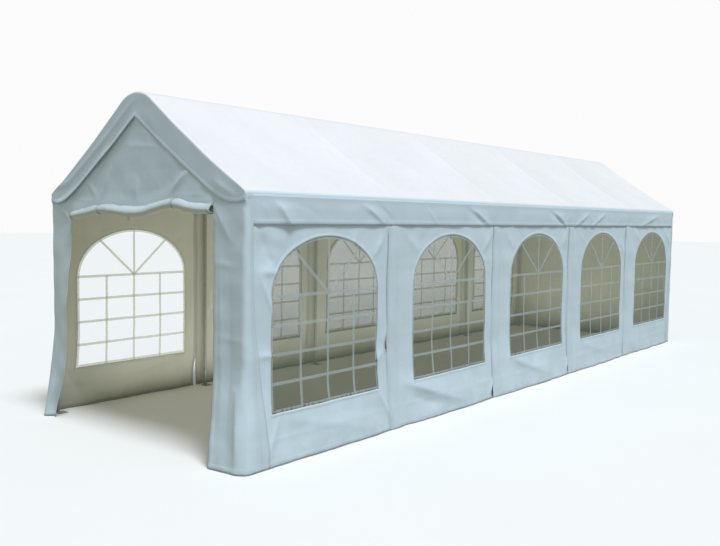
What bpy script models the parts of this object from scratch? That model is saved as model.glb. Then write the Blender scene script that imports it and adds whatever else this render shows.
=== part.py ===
"""A marquee tent, 3 by 10 metres: a steel tube frame under one folded roof cover, with a windowed sheet
in each bay of the long sides, an open doorway in the front end and a closed back end.

Metres, +Z up. The ridge runs along Y, the doorway faces -Y, and the right-hand side, seen from there,
is +X. The origin is on the ground, at the middle of the plan. Bays and frames count from the front.
"""

import math

import bmesh
import bpy
from mathutils import Vector

# Size of the tent, outside the cover
WIDTH = 3.0
LENGTH = 10.0
EAVE_HEIGHT = 2.3
RIDGE_HEIGHT = 3.2
BAYS = 5

# Cover and sheets
CLOTH = 0.004
FILM = 0.002
GAP = 0.0003
VALANCE_DEPTH = 0.27
CORNER_VALANCE_DEPTH = 0.15
HEM_CLEARANCE = 0.004
CORNER_WRAP = 0.14
FLANK_TOP = 2.05

# Windows of the side walls
WINDOW_WIDTH = 1.42
WINDOW_SILL = 0.44
WINDOW_SPRING = 1.425
WINDOW_TOP = 1.93
ARCH_STEPS = 14
FILM_LAP = 0.06

# Front doorway and its rolled-up door
DOOR_WIDTH = 2.2
ROLL_RADIUS = 0.055
ROLL_END_GAP = 0.02
ROLL_SEAT = 0.0006
ROLL_STEPS = 20
ROLL_SMOOTHNESS = 4
# How far the roll's middle hangs below the eave, from its left end over two ties to its right end
ROLL_HANG = ((-1.08, 0.225), (-0.6, 0.155), (-0.03, 0.195), (0.56, 0.105), (1.08, 0.16))

# Frame
TUBE_RADIUS = 0.019
SLEEVE_RADIUS = 0.022
COLLAR_RADIUS = 0.024
SLEEVE_LENGTH = 0.10
SOCKET_BOTTOM = 0.035
TUBE_SIDES = 12
FOOT_SIZE = 0.10
FOOT_THICKNESS = 0.005
WALL_TOP_GAP = 0.01

# Cutters run this far past what they cut
OVERRUN = 0.05
WELD_DISTANCE = 0.00001
SHARP_ANGLE = math.radians(40)

# Sizes that follow: each sheet lies just inside the one before it, and the frame inside them all
PITCH = math.atan2(RIDGE_HEIGHT - EAVE_HEIGHT, WIDTH / 2)
WALL_OUT = WIDTH / 2 - CLOTH - GAP
WALL_IN = WALL_OUT - CLOTH
END_OUT = LENGTH / 2 - CLOTH - GAP
END_IN = END_OUT - CLOTH
FILM_OUT = WALL_IN - GAP
FILM_IN = FILM_OUT - FILM
FRAME_X = FILM_IN - GAP - COLLAR_RADIUS
FRAME_Y = END_IN - GAP - COLLAR_RADIUS
BAY = LENGTH / BAYS
RIDGE_Z = RIDGE_HEIGHT - (CLOTH + GAP + COLLAR_RADIUS) / math.cos(PITCH)
EAVE_Z = RIDGE_Z - FRAME_X * math.tan(PITCH)
UPRIGHT_ACROSS = (math.pi / 2, 0, 0)
UPRIGHT_ALONG = (math.pi / 2, 0, math.pi / 2)


def clear_scene():
    for obj in list(bpy.data.objects):
        bpy.data.objects.remove(obj, do_unlink=True)


def new_collection(name, parent):
    collection = bpy.data.collections.new(name)
    parent.children.link(collection)
    return collection


def new_material(name, color, roughness, metallic=0.0, alpha=1.0):
    material = bpy.data.materials.new(name)
    material.use_nodes = True
    shader = material.node_tree.nodes["Principled BSDF"]
    shader.inputs["Base Color"].default_value = (*color, 1.0)
    shader.inputs["Roughness"].default_value = roughness
    shader.inputs["Metallic"].default_value = metallic
    shader.inputs["Alpha"].default_value = alpha
    return material


def place(obj, collection, material=None):
    """Links an object to one collection only, with its material."""
    for old in list(obj.users_collection):
        old.objects.unlink(obj)
    collection.objects.link(obj)
    if material:
        obj.data.materials.append(material)
    return obj


def tube(name, start, end, radius, collection, material=None):
    """A straight round tube from start to end."""
    start = Vector(start)
    run = Vector(end) - start
    bpy.ops.mesh.primitive_cylinder_add(vertices=TUBE_SIDES, radius=radius, depth=run.length)
    obj = bpy.context.object
    obj.name = name
    obj.location = start + run / 2
    obj.rotation_euler = run.to_track_quat("Z", "Y").to_euler()
    obj.data.shade_smooth()
    obj.data.set_sharp_from_angle(angle=SHARP_ANGLE)
    return place(obj, collection, material)


def box(name, low, high, collection, material=None):
    """A box between two opposite corners."""
    low = Vector(low)
    high = Vector(high)
    bpy.ops.mesh.primitive_cube_add(size=1, location=(low + high) / 2)
    obj = bpy.context.object
    obj.name = name
    obj.scale = high - low
    bpy.context.view_layer.update()
    bpy.ops.object.transform_apply(location=False, rotation=False, scale=True)
    return place(obj, collection, material)


def outline(name, loops, depth, location, rotation, collection, material=None):
    """A flat shape of straight sides: the first loop is its edge, and any others are holes in it."""
    curve = bpy.data.curves.new(name, "CURVE")
    curve.dimensions = "2D"
    curve.fill_mode = "BOTH"
    curve.extrude = depth / 2
    for loop in loops:
        spline = curve.splines.new("POLY")
        spline.points.add(len(loop) - 1)
        for point, (across, up) in zip(spline.points, loop):
            point.co = (across, up, 0, 1)
        spline.use_cyclic_u = True
    obj = bpy.data.objects.new(name, curve)
    obj.location = location
    obj.rotation_euler = rotation
    return place(obj, collection, material)


def as_mesh(curve_object, collection, material=None):
    """Makes a curve object a mesh of the same name, with its caps welded on, so that it can be cut."""
    bpy.context.view_layer.update()
    graph = bpy.context.evaluated_depsgraph_get()
    mesh = bpy.data.meshes.new_from_object(curve_object.evaluated_get(graph))
    shape = bmesh.new()
    shape.from_mesh(mesh)
    bmesh.ops.remove_doubles(shape, verts=shape.verts, dist=WELD_DISTANCE)
    shape.to_mesh(mesh)
    shape.free()
    name = curve_object.name
    matrix = curve_object.matrix_world.copy()
    bpy.data.objects.remove(curve_object, do_unlink=True)
    obj = bpy.data.objects.new(name, mesh)
    obj.matrix_world = matrix
    return place(obj, collection, material)


def combine(obj, operation, helpers, cutters):
    """Joins helper solids to an object, or cuts them from it."""
    group = new_collection(f"{obj.name}_{operation.lower()}", cutters)
    for helper in helpers:
        place(helper, group)
        helper.hide_render = True
        helper.display_type = "WIRE"
    modifier = obj.modifiers.new(operation.title(), "BOOLEAN")
    modifier.operation = operation
    modifier.operand_type = "COLLECTION"
    modifier.collection = group
    modifier.solver = "EXACT"


def frame_positions():
    """Where the frames stand along the tent: the end ones just inside the end sheets."""
    inner = [-LENGTH / 2 + BAY * i for i in range(1, BAYS)]
    return [-FRAME_Y, *inner, FRAME_Y]


def roof_line(below, across):
    """Height of a line that runs this far inside the roof slopes, at a distance across from the ridge."""
    return RIDGE_HEIGHT - below / math.cos(PITCH) - across * math.tan(PITCH)


def house_profile(half_width, below, bottom):
    """Outline of the tent's section, this far inside the roof slopes."""
    half = half_width
    eave = roof_line(below, half)
    ridge = roof_line(below, 0)
    return [(-half, bottom), (half, bottom), (half, eave), (0, ridge), (-half, eave)]


def build_roof_cover(parts, cutters, material):
    hem = EAVE_HEIGHT - VALANCE_DEPTH
    corner_hem = EAVE_HEIGHT - CORNER_VALANCE_DEPTH
    rake_hem = RIDGE_HEIGHT - VALANCE_DEPTH
    corner_start = (rake_hem - corner_hem) / math.tan(PITCH)
    half = WIDTH / 2
    solid = outline("roof_cover", [house_profile(half, 0, hem)], LENGTH, (0, 0, 0), UPRIGHT_ACROSS, parts)
    cover = as_mesh(solid, parts, material)
    inside = [house_profile(half - CLOTH, CLOTH, hem - OVERRUN)]
    hollow = outline("roof_hollow", inside, LENGTH - 2 * CLOTH, (0, 0, 0), UPRIGHT_ACROSS, cutters)
    below_rake = [
        (-half + CLOTH, hem - OVERRUN),
        (half - CLOTH, hem - OVERRUN),
        (half - CLOTH, corner_hem),
        (corner_start, corner_hem),
        (0, rake_hem),
        (-corner_start, corner_hem),
        (-half + CLOTH, corner_hem),
    ]
    ends = outline("roof_ends", [below_rake], LENGTH + OVERRUN, (0, 0, 0), UPRIGHT_ACROSS, cutters)
    combine(cover, "DIFFERENCE", [as_mesh(hollow, cutters), as_mesh(ends, cutters)], cutters)


def window_loop(middle):
    """Outline of an arched window round a middle along the wall."""
    half = WINDOW_WIDTH / 2
    rise = WINDOW_TOP - WINDOW_SPRING
    loop = [(middle - half, WINDOW_SILL), (middle + half, WINDOW_SILL)]
    for step in range(ARCH_STEPS + 1):
        angle = math.pi * step / ARCH_STEPS
        loop.append((middle + half * math.cos(angle), WINDOW_SPRING + rise * math.sin(angle)))
    return loop


def build_side_wall(side_name, side, parts, cloth, film):
    """The five window sheets of one side and the film behind them."""
    top = EAVE_HEIGHT - WALL_TOP_GAP
    for bay in range(BAYS):
        start = -LENGTH / 2 + BAY * bay
        low = start + (CORNER_WRAP if bay == 0 else 0) + GAP
        high = start + BAY - (CORNER_WRAP if bay == BAYS - 1 else 0) - GAP
        edge = [(low, HEM_CLEARANCE), (high, HEM_CLEARANCE), (high, top), (low, top)]
        outline(
            f"{side_name}_wall_panel_{bay + 1}",
            [edge, window_loop(start + BAY / 2)],
            CLOTH,
            (side * (WALL_OUT - CLOTH / 2), 0, 0),
            UPRIGHT_ALONG,
            parts,
            cloth,
        )
    reach = (LENGTH - BAY + WINDOW_WIDTH) / 2 + FILM_LAP
    inner, outer = sorted((side * FILM_IN, side * FILM_OUT))
    low = (inner, -reach, WINDOW_SILL - FILM_LAP)
    high = (outer, reach, WINDOW_TOP + FILM_LAP)
    box(f"{side_name}_window_film", low, high, parts, film)


def roll_height(across):
    """Height of the roll's middle: it hangs in soft swags between its ends and the two ties."""
    points = [(x, EAVE_HEIGHT - hang) for x, hang in ROLL_HANG]
    for (start, start_z), (end, end_z) in zip(points, points[1:]):
        if across <= end:
            share = max(0.0, across - start) / (end - start)
            return start_z + (end_z - start_z) * (1 - math.cos(math.pi * share)) / 2
    return points[-1][1]


def roll_positions():
    reach = DOOR_WIDTH / 2 - ROLL_END_GAP
    return [-reach + 2 * reach * step / ROLL_STEPS for step in range(ROLL_STEPS + 1)]


def edge_over_roll():
    """Lower edge of the gable, which hangs down the roll's front: higher where the roll slopes."""
    depth = ROLL_RADIUS - (LENGTH / 2 - END_IN)
    lift = math.sqrt(ROLL_RADIUS**2 - depth**2) + ROLL_SEAT
    spine = [(x, roll_height(x)) for x in roll_positions()]
    slopes = [(z2 - z1) / (x2 - x1) for (x1, z1), (x2, z2) in zip(spine, spine[1:])]
    edge = []
    for (x, z), before, after in zip(spine, [0, *slopes], [*slopes, 0]):
        steepest = max(abs(before), abs(after))
        edge.append((x, z + lift * math.hypot(1, steepest)))
    return edge


def build_front_end(parts, cloth):
    """The gable sheet and the two flanks of the doorway, each wrapped round its corner."""
    middle_y = -(END_OUT + END_IN) / 2
    jamb = DOOR_WIDTH / 2
    lower = FLANK_TOP + GAP
    eave = roof_line(CLOTH + GAP, WALL_OUT)
    ridge = roof_line(CLOTH + GAP, 0)
    over_roll = edge_over_roll()
    gable = [(-WALL_OUT, eave), (-WALL_OUT, lower), (-jamb, lower), (-jamb, over_roll[0][1])]
    gable += over_roll
    gable += [(jamb, over_roll[-1][1]), (jamb, lower), (WALL_OUT, lower), (WALL_OUT, eave), (0, ridge)]
    outline("front_gable", [gable], CLOTH, (0, middle_y, 0), UPRIGHT_ACROSS, parts, cloth)
    for side_name, side in (("left", -1), ("right", 1)):
        wrap = -LENGTH / 2 + CORNER_WRAP
        plan = [
            (side * jamb, -END_OUT),
            (side * WALL_OUT, -END_OUT),
            (side * WALL_OUT, wrap),
            (side * WALL_IN, wrap),
            (side * WALL_IN, -END_IN),
            (side * jamb, -END_IN),
        ]
        middle_z = (HEM_CLEARANCE + FLANK_TOP) / 2
        height = FLANK_TOP - HEM_CLEARANCE
        outline(f"front_{side_name}_flank", [plan], height, (0, 0, middle_z), (0, 0, 0), parts, cloth)


def build_door_roll(parts, material):
    """The door sheet, rolled up along the lower edge of the gable."""
    roll = bpy.data.curves.new("front_door_roll", "CURVE")
    roll.dimensions = "3D"
    roll.bevel_depth = ROLL_RADIUS
    roll.bevel_resolution = ROLL_SMOOTHNESS
    roll.use_fill_caps = True
    spline = roll.splines.new("POLY")
    spline.points.add(ROLL_STEPS)
    for point, x in zip(spline.points, roll_positions()):
        point.co = (x, ROLL_RADIUS - LENGTH / 2, roll_height(x), 1)
    place(bpy.data.objects.new("front_door_roll", roll), parts, material)


def build_back_end(parts, cutters, cloth):
    """The closed end sheet, wrapped round both corners and cut off under the roof slopes."""
    wrap = LENGTH / 2 - CORNER_WRAP
    plan = [
        (-WALL_OUT, wrap),
        (-WALL_IN, wrap),
        (-WALL_IN, END_IN),
        (WALL_IN, END_IN),
        (WALL_IN, wrap),
        (WALL_OUT, wrap),
        (WALL_OUT, END_OUT),
        (-WALL_OUT, END_OUT),
    ]
    middle_z = (HEM_CLEARANCE + RIDGE_HEIGHT) / 2
    wall = outline("back_wall", [plan], RIDGE_HEIGHT - HEM_CLEARANCE, (0, 0, middle_z), (0, 0, 0), parts)
    wall = as_mesh(wall, parts, cloth)
    beyond = WALL_OUT + OVERRUN
    eave = roof_line(CLOTH + GAP, beyond)
    ridge = roof_line(CLOTH + GAP, 0)
    sky_top = RIDGE_HEIGHT + OVERRUN
    sky = [(-beyond, eave), (0, ridge), (beyond, eave), (beyond, sky_top), (-beyond, sky_top)]
    above = outline("back_sky", [sky], LENGTH + OVERRUN, (0, 0, 0), UPRIGHT_ACROSS, cutters)
    combine(wall, "DIFFERENCE", [as_mesh(above, cutters)], cutters)


def build_leg(name, side, y, parts, cutters, steel):
    """A leg tube standing on its foot plate, which reaches inwards from the sheets."""
    top = EAVE_Z - SOCKET_BOTTOM - GAP
    x = side * FRAME_X
    leg = tube(name, (x, y, FOOT_THICKNESS / 2), (x, y, top), TUBE_RADIUS, parts, steel)
    outer = side * (FRAME_X + COLLAR_RADIUS)
    x_low, x_high = sorted((outer, outer - side * FOOT_SIZE))
    farthest = FRAME_Y + COLLAR_RADIUS - FOOT_SIZE / 2
    middle_y = max(-farthest, min(farthest, y))
    low = (x_low, middle_y - FOOT_SIZE / 2, 0)
    high = (x_high, middle_y + FOOT_SIZE / 2, FOOT_THICKNESS)
    plate = box("foot_plate", low, high, cutters)
    combine(leg, "UNION", [plate], cutters)


def build_rafter(name, side, y, parts, steel):
    ridge = Vector((0, y, RIDGE_Z))
    eave = Vector((side * FRAME_X, y, EAVE_Z))
    inset = (eave - ridge).normalized() * (SOCKET_BOTTOM + GAP)
    tube(name, ridge + inset, eave - inset, TUBE_RADIUS, parts, steel)


def build_rail(name, x, z, directions, parts, cutters, steel):
    """A bar along the tent with a fitting at each frame, whose sleeves point in the given directions."""
    reach = FRAME_Y + TUBE_RADIUS
    rail = tube(name, (x, -reach, z), (x, reach, z), TUBE_RADIUS, parts, steel)
    sleeves = []
    sockets = []
    for y in frame_positions():
        centre = Vector((x, y, z))
        low = max(y - SLEEVE_LENGTH, -FRAME_Y - COLLAR_RADIUS)
        high = min(y + SLEEVE_LENGTH, FRAME_Y + COLLAR_RADIUS)
        sleeves.append(tube("collar", (x, low, z), (x, high, z), COLLAR_RADIUS, cutters))
        for direction in directions:
            direction = Vector(direction)
            mouth = centre + direction * SLEEVE_LENGTH
            past = centre + direction * (SLEEVE_LENGTH + OVERRUN)
            bottom = centre + direction * SOCKET_BOTTOM
            sleeves.append(tube("sleeve", centre, mouth, SLEEVE_RADIUS, cutters))
            sockets.append(tube("socket", bottom, past, TUBE_RADIUS + GAP, cutters))
    combine(rail, "UNION", sleeves, cutters)
    combine(rail, "DIFFERENCE", sockets, cutters)


def build_frame(parts, cutters, steel):
    for number, y in enumerate(frame_positions(), start=1):
        for side_name, side in (("left", -1), ("right", 1)):
            build_leg(f"{side_name}_leg_{number}", side, y, parts, cutters, steel)
            build_rafter(f"{side_name}_rafter_{number}", side, y, parts, steel)
    run = math.cos(PITCH)
    rise = math.sin(PITCH)
    build_rail("ridge_rail", 0, RIDGE_Z, [(-run, 0, -rise), (run, 0, -rise)], parts, cutters, steel)
    for side_name, side in (("left", -1), ("right", 1)):
        directions = [(-side * run, 0, rise), (0, 0, -1)]
        build_rail(f"{side_name}_eave_rail", side * FRAME_X, EAVE_Z, directions, parts, cutters, steel)


def main():
    clear_scene()
    scene_root = bpy.context.scene.collection
    parts = new_collection("marquee_tent", scene_root)
    cutters = new_collection("cutters", scene_root)
    roof_cloth = new_material("roof_cloth", (0.86, 0.90, 0.93), 0.55)
    wall_cloth = new_material("wall_cloth", (0.72, 0.80, 0.85), 0.6)
    roll_cloth = new_material("roll_cloth", (0.78, 0.85, 0.88), 0.6)
    window_film = new_material("window_film", (0.75, 0.80, 0.76), 0.12, alpha=0.35)
    steel = new_material("painted_steel", (0.62, 0.64, 0.63), 0.4, metallic=0.6)
    build_roof_cover(parts, cutters, roof_cloth)
    build_side_wall("left", -1, parts, wall_cloth, window_film)
    build_side_wall("right", 1, parts, wall_cloth, window_film)
    build_front_end(parts, wall_cloth)
    build_door_roll(parts, roll_cloth)
    build_back_end(parts, cutters, wall_cloth)
    build_frame(parts, cutters, steel)


main()
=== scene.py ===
"""The looks of a 3 by 10 metre marquee tent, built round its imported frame.

Metres, in the frame's own axes: the ridge runs along Y, the open doorway faces -Y and the right-hand side
is +X. Each sheet is a grid of points at its cut size, which is then hung: folds, creases, sag and flared
hems push its points out of their plane. Along means along the ridge, across means from left to right.
"""

import math

import bmesh
import bpy
import numpy as np
from mathutils import Matrix, Vector


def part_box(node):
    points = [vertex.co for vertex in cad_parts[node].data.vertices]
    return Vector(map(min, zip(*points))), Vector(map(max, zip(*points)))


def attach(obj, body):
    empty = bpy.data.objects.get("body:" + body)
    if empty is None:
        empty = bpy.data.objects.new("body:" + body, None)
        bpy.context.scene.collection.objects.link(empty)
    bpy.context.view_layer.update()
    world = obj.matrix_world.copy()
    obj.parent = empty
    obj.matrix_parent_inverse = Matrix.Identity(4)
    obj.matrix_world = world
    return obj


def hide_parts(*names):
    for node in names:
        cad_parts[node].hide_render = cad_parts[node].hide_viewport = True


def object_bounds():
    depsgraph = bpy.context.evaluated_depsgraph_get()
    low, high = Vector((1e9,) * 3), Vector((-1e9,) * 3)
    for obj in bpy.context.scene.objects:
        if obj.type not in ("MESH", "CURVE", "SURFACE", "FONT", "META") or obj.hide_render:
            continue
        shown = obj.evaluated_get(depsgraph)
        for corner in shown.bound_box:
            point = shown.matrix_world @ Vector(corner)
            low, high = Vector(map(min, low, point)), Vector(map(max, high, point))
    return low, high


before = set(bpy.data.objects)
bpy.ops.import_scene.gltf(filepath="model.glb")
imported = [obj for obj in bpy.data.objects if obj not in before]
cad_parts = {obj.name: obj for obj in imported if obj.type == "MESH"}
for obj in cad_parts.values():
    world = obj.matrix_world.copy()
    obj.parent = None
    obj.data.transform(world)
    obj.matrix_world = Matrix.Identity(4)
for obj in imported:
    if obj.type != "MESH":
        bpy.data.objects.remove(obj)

CAD_LOW, CAD_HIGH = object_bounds()

# Size of the tent, from its frame
HALF_WIDTH = CAD_HIGH.x
HALF_LENGTH = CAD_HIGH.y
RIDGE = CAD_HIGH.z
EAVE = 2.3
BAYS = 5
BAY = 2 * HALF_LENGTH / BAYS
PITCH = math.atan2(RIDGE - EAVE, HALF_WIDTH)
WALL_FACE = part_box("right_wall_panel_2")[1].x
END_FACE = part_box("back_wall")[1].y
FRAME_LINES = [-HALF_LENGTH + BAY * i for i in range(BAYS + 1)]

# Cloth: its thickness, the width and rise of its hems, and their height off the ground
CLOTH = 0.0015
HEM = 0.035
HEM_RISE = 0.0012
GROUND_CLEARANCE = 0.005

# Roof cover. A fold is given by its radius, and the eave's seam by its drop below the sharp eave
VALANCE = 0.27
EAVE_FOLD = 0.045
EAVE_SEAM = EAVE_FOLD * (1 - math.sin(PITCH)) / math.cos(PITCH)
SEAM_LAP = 0.012
# Within this distance of the roof's edges its painted highlight gives way to the valance's painted shade:
# over the eave fold, down the rake valances and at the corners
BORDER_EDGE = VALANCE + 0.02
RIDGE_FOLD = 0.40
RIDGE_LIFT = 0.019
SLOPE_DIP = 0.024
RAKE_FOLD = 0.020
RAKE_FOLD_AT_CORNER = 0.010
RAKE_FOLD_STEPS = (18, 36, 54, 72, 90)
ROOF_SAG = 0.03
RAKE_HEM_TOP = 2.93
RAKE_HEM_RISE = 0.06
RAKE_HEM_CORNER = 2.200
ROOF_CORNER = 0.020
LAP_TUCK = 0.0045
VALANCE_LAP = 0.004
SEAM_RISE = 0.0009

# Side walls. A joint between two sheets lies ahead of its frame line
CORNER_LAP = 0.06
JOINT_LEAD = 0.12
JOINT_LAP = 0.165
JOINT_OVERLAP = 0.012
JOINT_VALLEY = 0.012
WINDOW_HALF = 0.71
WINDOW_SILL = 0.44
WINDOW_SPRING = 1.425
WINDOW_TOP = 1.93
WALL_TOP = 2.285
FILM_LAP = 0.03
BAR_WIDTH = 0.028
HEM_FLARE = 0.09
FLARE_START = 0.06
FLARE_REST = 0.034

# How far the hem flares at a corner: side, facing, sideways and forwards
CORNER_FLARES = (
    (-1, -1, 0.042, 0.07),
    (1, -1, 0.022, 0.065),
    (-1, 1, 0.02, 0.02),
)

# Ends. A wrap is the strip of an end sheet that goes round its corner
DOOR_HALF = 1.1
FLANK_TOP = 2.05
FLANK_SWING = 11.5
END_FLARE = 0.045
GATHER_RIGHT = 0.075
SWING_RIGHT = 0.07
GATHER_LEFT = 0.16
GATHER_FOLD = 0.03
GATHER_BACK = 0.05
CORNER_FOLD = 0.035
CORNER_FOLD_LOW = 0.050
CORNER_FOLD_TOP = 0.018
WRAP_FACE = HALF_WIDTH - 0.001
WRAP_TOP_WIDTH = 0.05
SEAM_STAND = 0.0024
WRAP_HEM_WIDTH = 0.195
ZIP_BAND = 0.045

# Rolled door: place across and hang below the eave, from its left end over two ties to its right end
ROLL_HANG = (
    (-1.08, 0.208),
    (-0.86, 0.180),
    (-0.60, 0.146),
    (-0.38, 0.146),
    (-0.03, 0.168),
    (0.18, 0.154),
    (0.36, 0.118),
    (0.56, 0.090),
    (0.84, 0.126),
    (1.08, 0.138),
)
ROLL_RADIUS = 0.051
ROLL_FLATNESS = 0.20
ROLL_HOLLOW = 0.022
ROLL_TURNS = 8
GABLE_REACH = 0.007
ROLL_CENTRE_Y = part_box("front_door_roll")[0].y + 0.012
TURN_STEPS = 20
# Share of the last turn that is turned inside out, on the roll's underside: a real turn of cloth, whose
# darker inner face is painted shade there
TURNED_OUT = 0.40
TIES = (-0.60, 0.56)
TAB_PLACE = -0.07

# Camera of the photograph
CAMERA_PLACE = (6.312, -9.313, 2.087)
CAMERA_YAW = 39.93
CAMERA_PITCH = -3.86
CAMERA_ROLL = 0.8
CAMERA_LENS = 39.9
SENSOR = 36.0

# Socket fittings: radius of a collar and of a sleeve, and how far out along a sleeve its screw sits
COLLAR_RADIUS = 0.024
SLEEVE_RADIUS = 0.022
SCREW_REACH = 0.072

# Colours
WALL_COLOR = (0.74, 0.86, 0.95)
# The valance is the walls' cloth painted a little darker: painted shade
VALANCE_SHADE = 0.94
# The roof is the walls' cloth painted whiter: painted highlight of the sunlit roof
ROOF_PAINTED_HIGHLIGHT = (0.95, 0.92, 0.93)
ROLL_COLOR = (0.72, 0.81, 0.86)
# The cloth's inner face, painted khaki and darker: painted tint and shade of the dim light inside the tent
INSIDE_PAINTED_SHADE = (0.66, 0.66, 0.56)
SOIL_COLOR = (0.33, 0.31, 0.24)
STITCHES_PER_METRE = 110.0

# Light
SUN_FROM = (0.40, -0.10, 0.91)
SUN_STRENGTH = 2.32
GLOW_STRENGTH = 88
SKY_STRENGTH = 0.385
BACKDROP_STRENGTH = 0.97


# Shapes of cloth

def smooth(value):
    """0 to 1 with soft ends."""
    value = np.clip(value, 0, 1)
    return value * value * (3 - 2 * value)


def noise(u, v, size, seed):
    """Soft lumps of about this size, from -1 to 1."""
    cells = 64
    lattice = np.random.default_rng(seed).uniform(-1, 1, (cells, cells))
    u = np.asarray(u, float) / size
    v = np.asarray(v, float) / size
    i = np.floor(u).astype(int)
    j = np.floor(v).astype(int)
    a = smooth(u - i)
    b = smooth(v - j)
    i0, i1, j0, j1 = i % cells, (i + 1) % cells, j % cells, (j + 1) % cells
    low = lattice[i0, j0] * (1 - a) + lattice[i1, j0] * a
    high = lattice[i0, j1] * (1 - a) + lattice[i1, j1] * a
    return low * (1 - b) + high * b


def crumple(u, v, size, seed):
    """Shallow facets with straight creases between them, as in a sheet that was packed small: -1 to 1."""
    rng = np.random.default_rng(seed)
    height = 0
    directions = 5
    for turn in range(directions):
        angle = math.pi * (turn + rng.uniform(0.1, 0.9)) / directions
        scale = size * rng.uniform(0.7, 1.5)
        across = (u * math.cos(angle) + v * math.sin(angle)) / scale + rng.uniform(0, 1)
        across = across + 0.35 * noise(u, v, 3 * size, seed + 7 * turn + 1)
        height = height + 4 * np.abs(across - np.round(across)) - 1
    return height / directions


def crease(u, v, start, end, height, width, lean=1.0):
    """A fold that stands this high along a line and fades at its ends. It is lean times as wide above its
    line as below."""
    run_u = end[0] - start[0]
    run_v = end[1] - start[1]
    length = math.hypot(run_u, run_v)
    along = ((u - start[0]) * run_u + (v - start[1]) * run_v) / length**2
    across = ((u - start[0]) * run_v - (v - start[1]) * run_u) / length
    fade = np.sin(math.pi * np.clip(along, 0, 1)) ** 0.7
    widths = np.where(across * math.copysign(1, run_u) < 0, width * lean, width)
    crest = 0.3 * width
    return height * np.exp((crest - np.hypot(across, crest)) / widths) * fade


def bump(value, middle, width):
    """1 at the middle, and near 0 two widths away."""
    return np.exp(-(((value - middle) / width) ** 2))


def add_creases(u, v, creases):
    total = 0
    for start, end, height, width, *lean in creases:
        total = total + crease(u, v, start, end, height, width, *lean)
    return total


def hem_step(edge):
    """The double thickness of a hem, with a soft step where it ends."""
    return HEM_RISE * smooth((HEM + 0.003 - edge) / 0.003)


def bay_phase(along):
    """0 at a frame line and 1 at the next."""
    return ((along + HALF_LENGTH) / BAY) % 1


# Creases on the right-hand side that the photograph shows: start and end along and up, height, width, lean
RIGHT_WALL_CREASES = [
    ((-4.84, 1.62), (-4.66, 1.20), 0.018, 0.03),
    ((-4.88, 1.64), (-4.60, 1.63), 0.012, 0.02),
    ((-4.88, 0.94), (-4.60, 0.93), 0.011, 0.02),
    ((-4.86, 2.04), (-4.70, 1.70), -0.018, 0.04),
    ((-4.86, 1.98), (-4.52, 1.86), 0.010, 0.03, 2.0),
    ((-4.80, 1.84), (-4.62, 1.74), 0.010, 0.025, 2.0),
    ((-4.62, 0.42), (-4.78, 0.06), 0.014, 0.03),
    ((-4.60, 0.38), (-3.50, 0.12), 0.012, 0.06, 1.8),
    ((-3.30, 0.44), (-3.10, 0.10), 0.014, 0.03),
    ((-3.38, 1.70), (-3.14, 2.02), 0.014, 0.03),
    ((-2.62, 1.75), (-2.92, 2.02), 0.012, 0.03),
    ((-2.94, 0.46), (-1.72, 0.06), 0.030, 0.050, 2.2),
    ((-2.76, 0.28), (-2.20, 0.10), -0.012, 0.06),
    ((-1.36, 1.72), (-1.12, 2.02), 0.014, 0.03),
    ((-0.62, 1.74), (-0.90, 2.02), 0.012, 0.03),
    ((-0.78, 0.44), (0.30, 0.10), 0.018, 0.045, 2.2),
    ((0.66, 1.74), (0.86, 2.02), 0.010, 0.03),
    ((1.42, 1.78), (1.10, 2.02), 0.012, 0.03),
    ((2.60, 1.82), (2.86, 1.60), 0.012, 0.03, 1.5),
    ((1.20, 0.40), (2.30, 0.14), 0.010, 0.06, 2.0),
    ((3.46, 1.80), (3.16, 2.02), 0.012, 0.03),
    ((4.56, 1.98), (4.88, 1.72), 0.014, 0.03, 1.5),
]
RIGHT_VALANCE_CREASES = [
    ((-4.43, 1.93), (-4.76, 2.36), 0.034, 0.028, 4.0),
    ((-4.84, 2.24), (-4.74, 2.10), 0.006, 0.020, 1.5),
    ((-4.62, 2.31), (-4.10, 2.10), -0.008, 0.030),
    ((-3.70, 2.32), (-3.18, 2.03), 0.022, 0.016, 4.0),
    ((-3.40, 2.30), (-3.00, 2.03), -0.010, 0.020),
    ((-1.88, 2.30), (-1.32, 2.03), -0.018, 0.018),
    ((-1.80, 2.31), (-1.20, 2.02), 0.020, 0.014, 4.0),
    ((-2.55, 2.28), (-2.30, 2.03), 0.008, 0.018),
    ((0.12, 2.29), (0.72, 2.03), -0.016, 0.018),
    ((0.22, 2.31), (0.80, 2.02), 0.020, 0.014, 4.0),
    ((1.04, 2.02), (1.62, 2.27), 0.020, 0.014, 3.0),
    ((1.56, 2.02), (2.20, 2.27), 0.020, 0.014, 3.0),
    ((3.40, 2.02), (4.60, 2.29), 0.020, 0.016, 4.0),
]


def random_creases(seed, count, along_range, up_range, height):
    """Short slanting creases, scattered over a sheet."""
    rng = np.random.default_rng(seed)
    creases = []
    for _ in range(count):
        start = (rng.uniform(*along_range), rng.uniform(*up_range))
        angle = rng.choice([-1, 1]) * rng.uniform(0.5, 1.2)
        length = rng.uniform(0.2, 0.5)
        end = (start[0] + length * math.cos(angle), start[1] + length * math.sin(angle))
        creases.append((start, end, height * rng.uniform(-0.7, 1), rng.uniform(0.02, 0.035)))
    return creases


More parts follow.
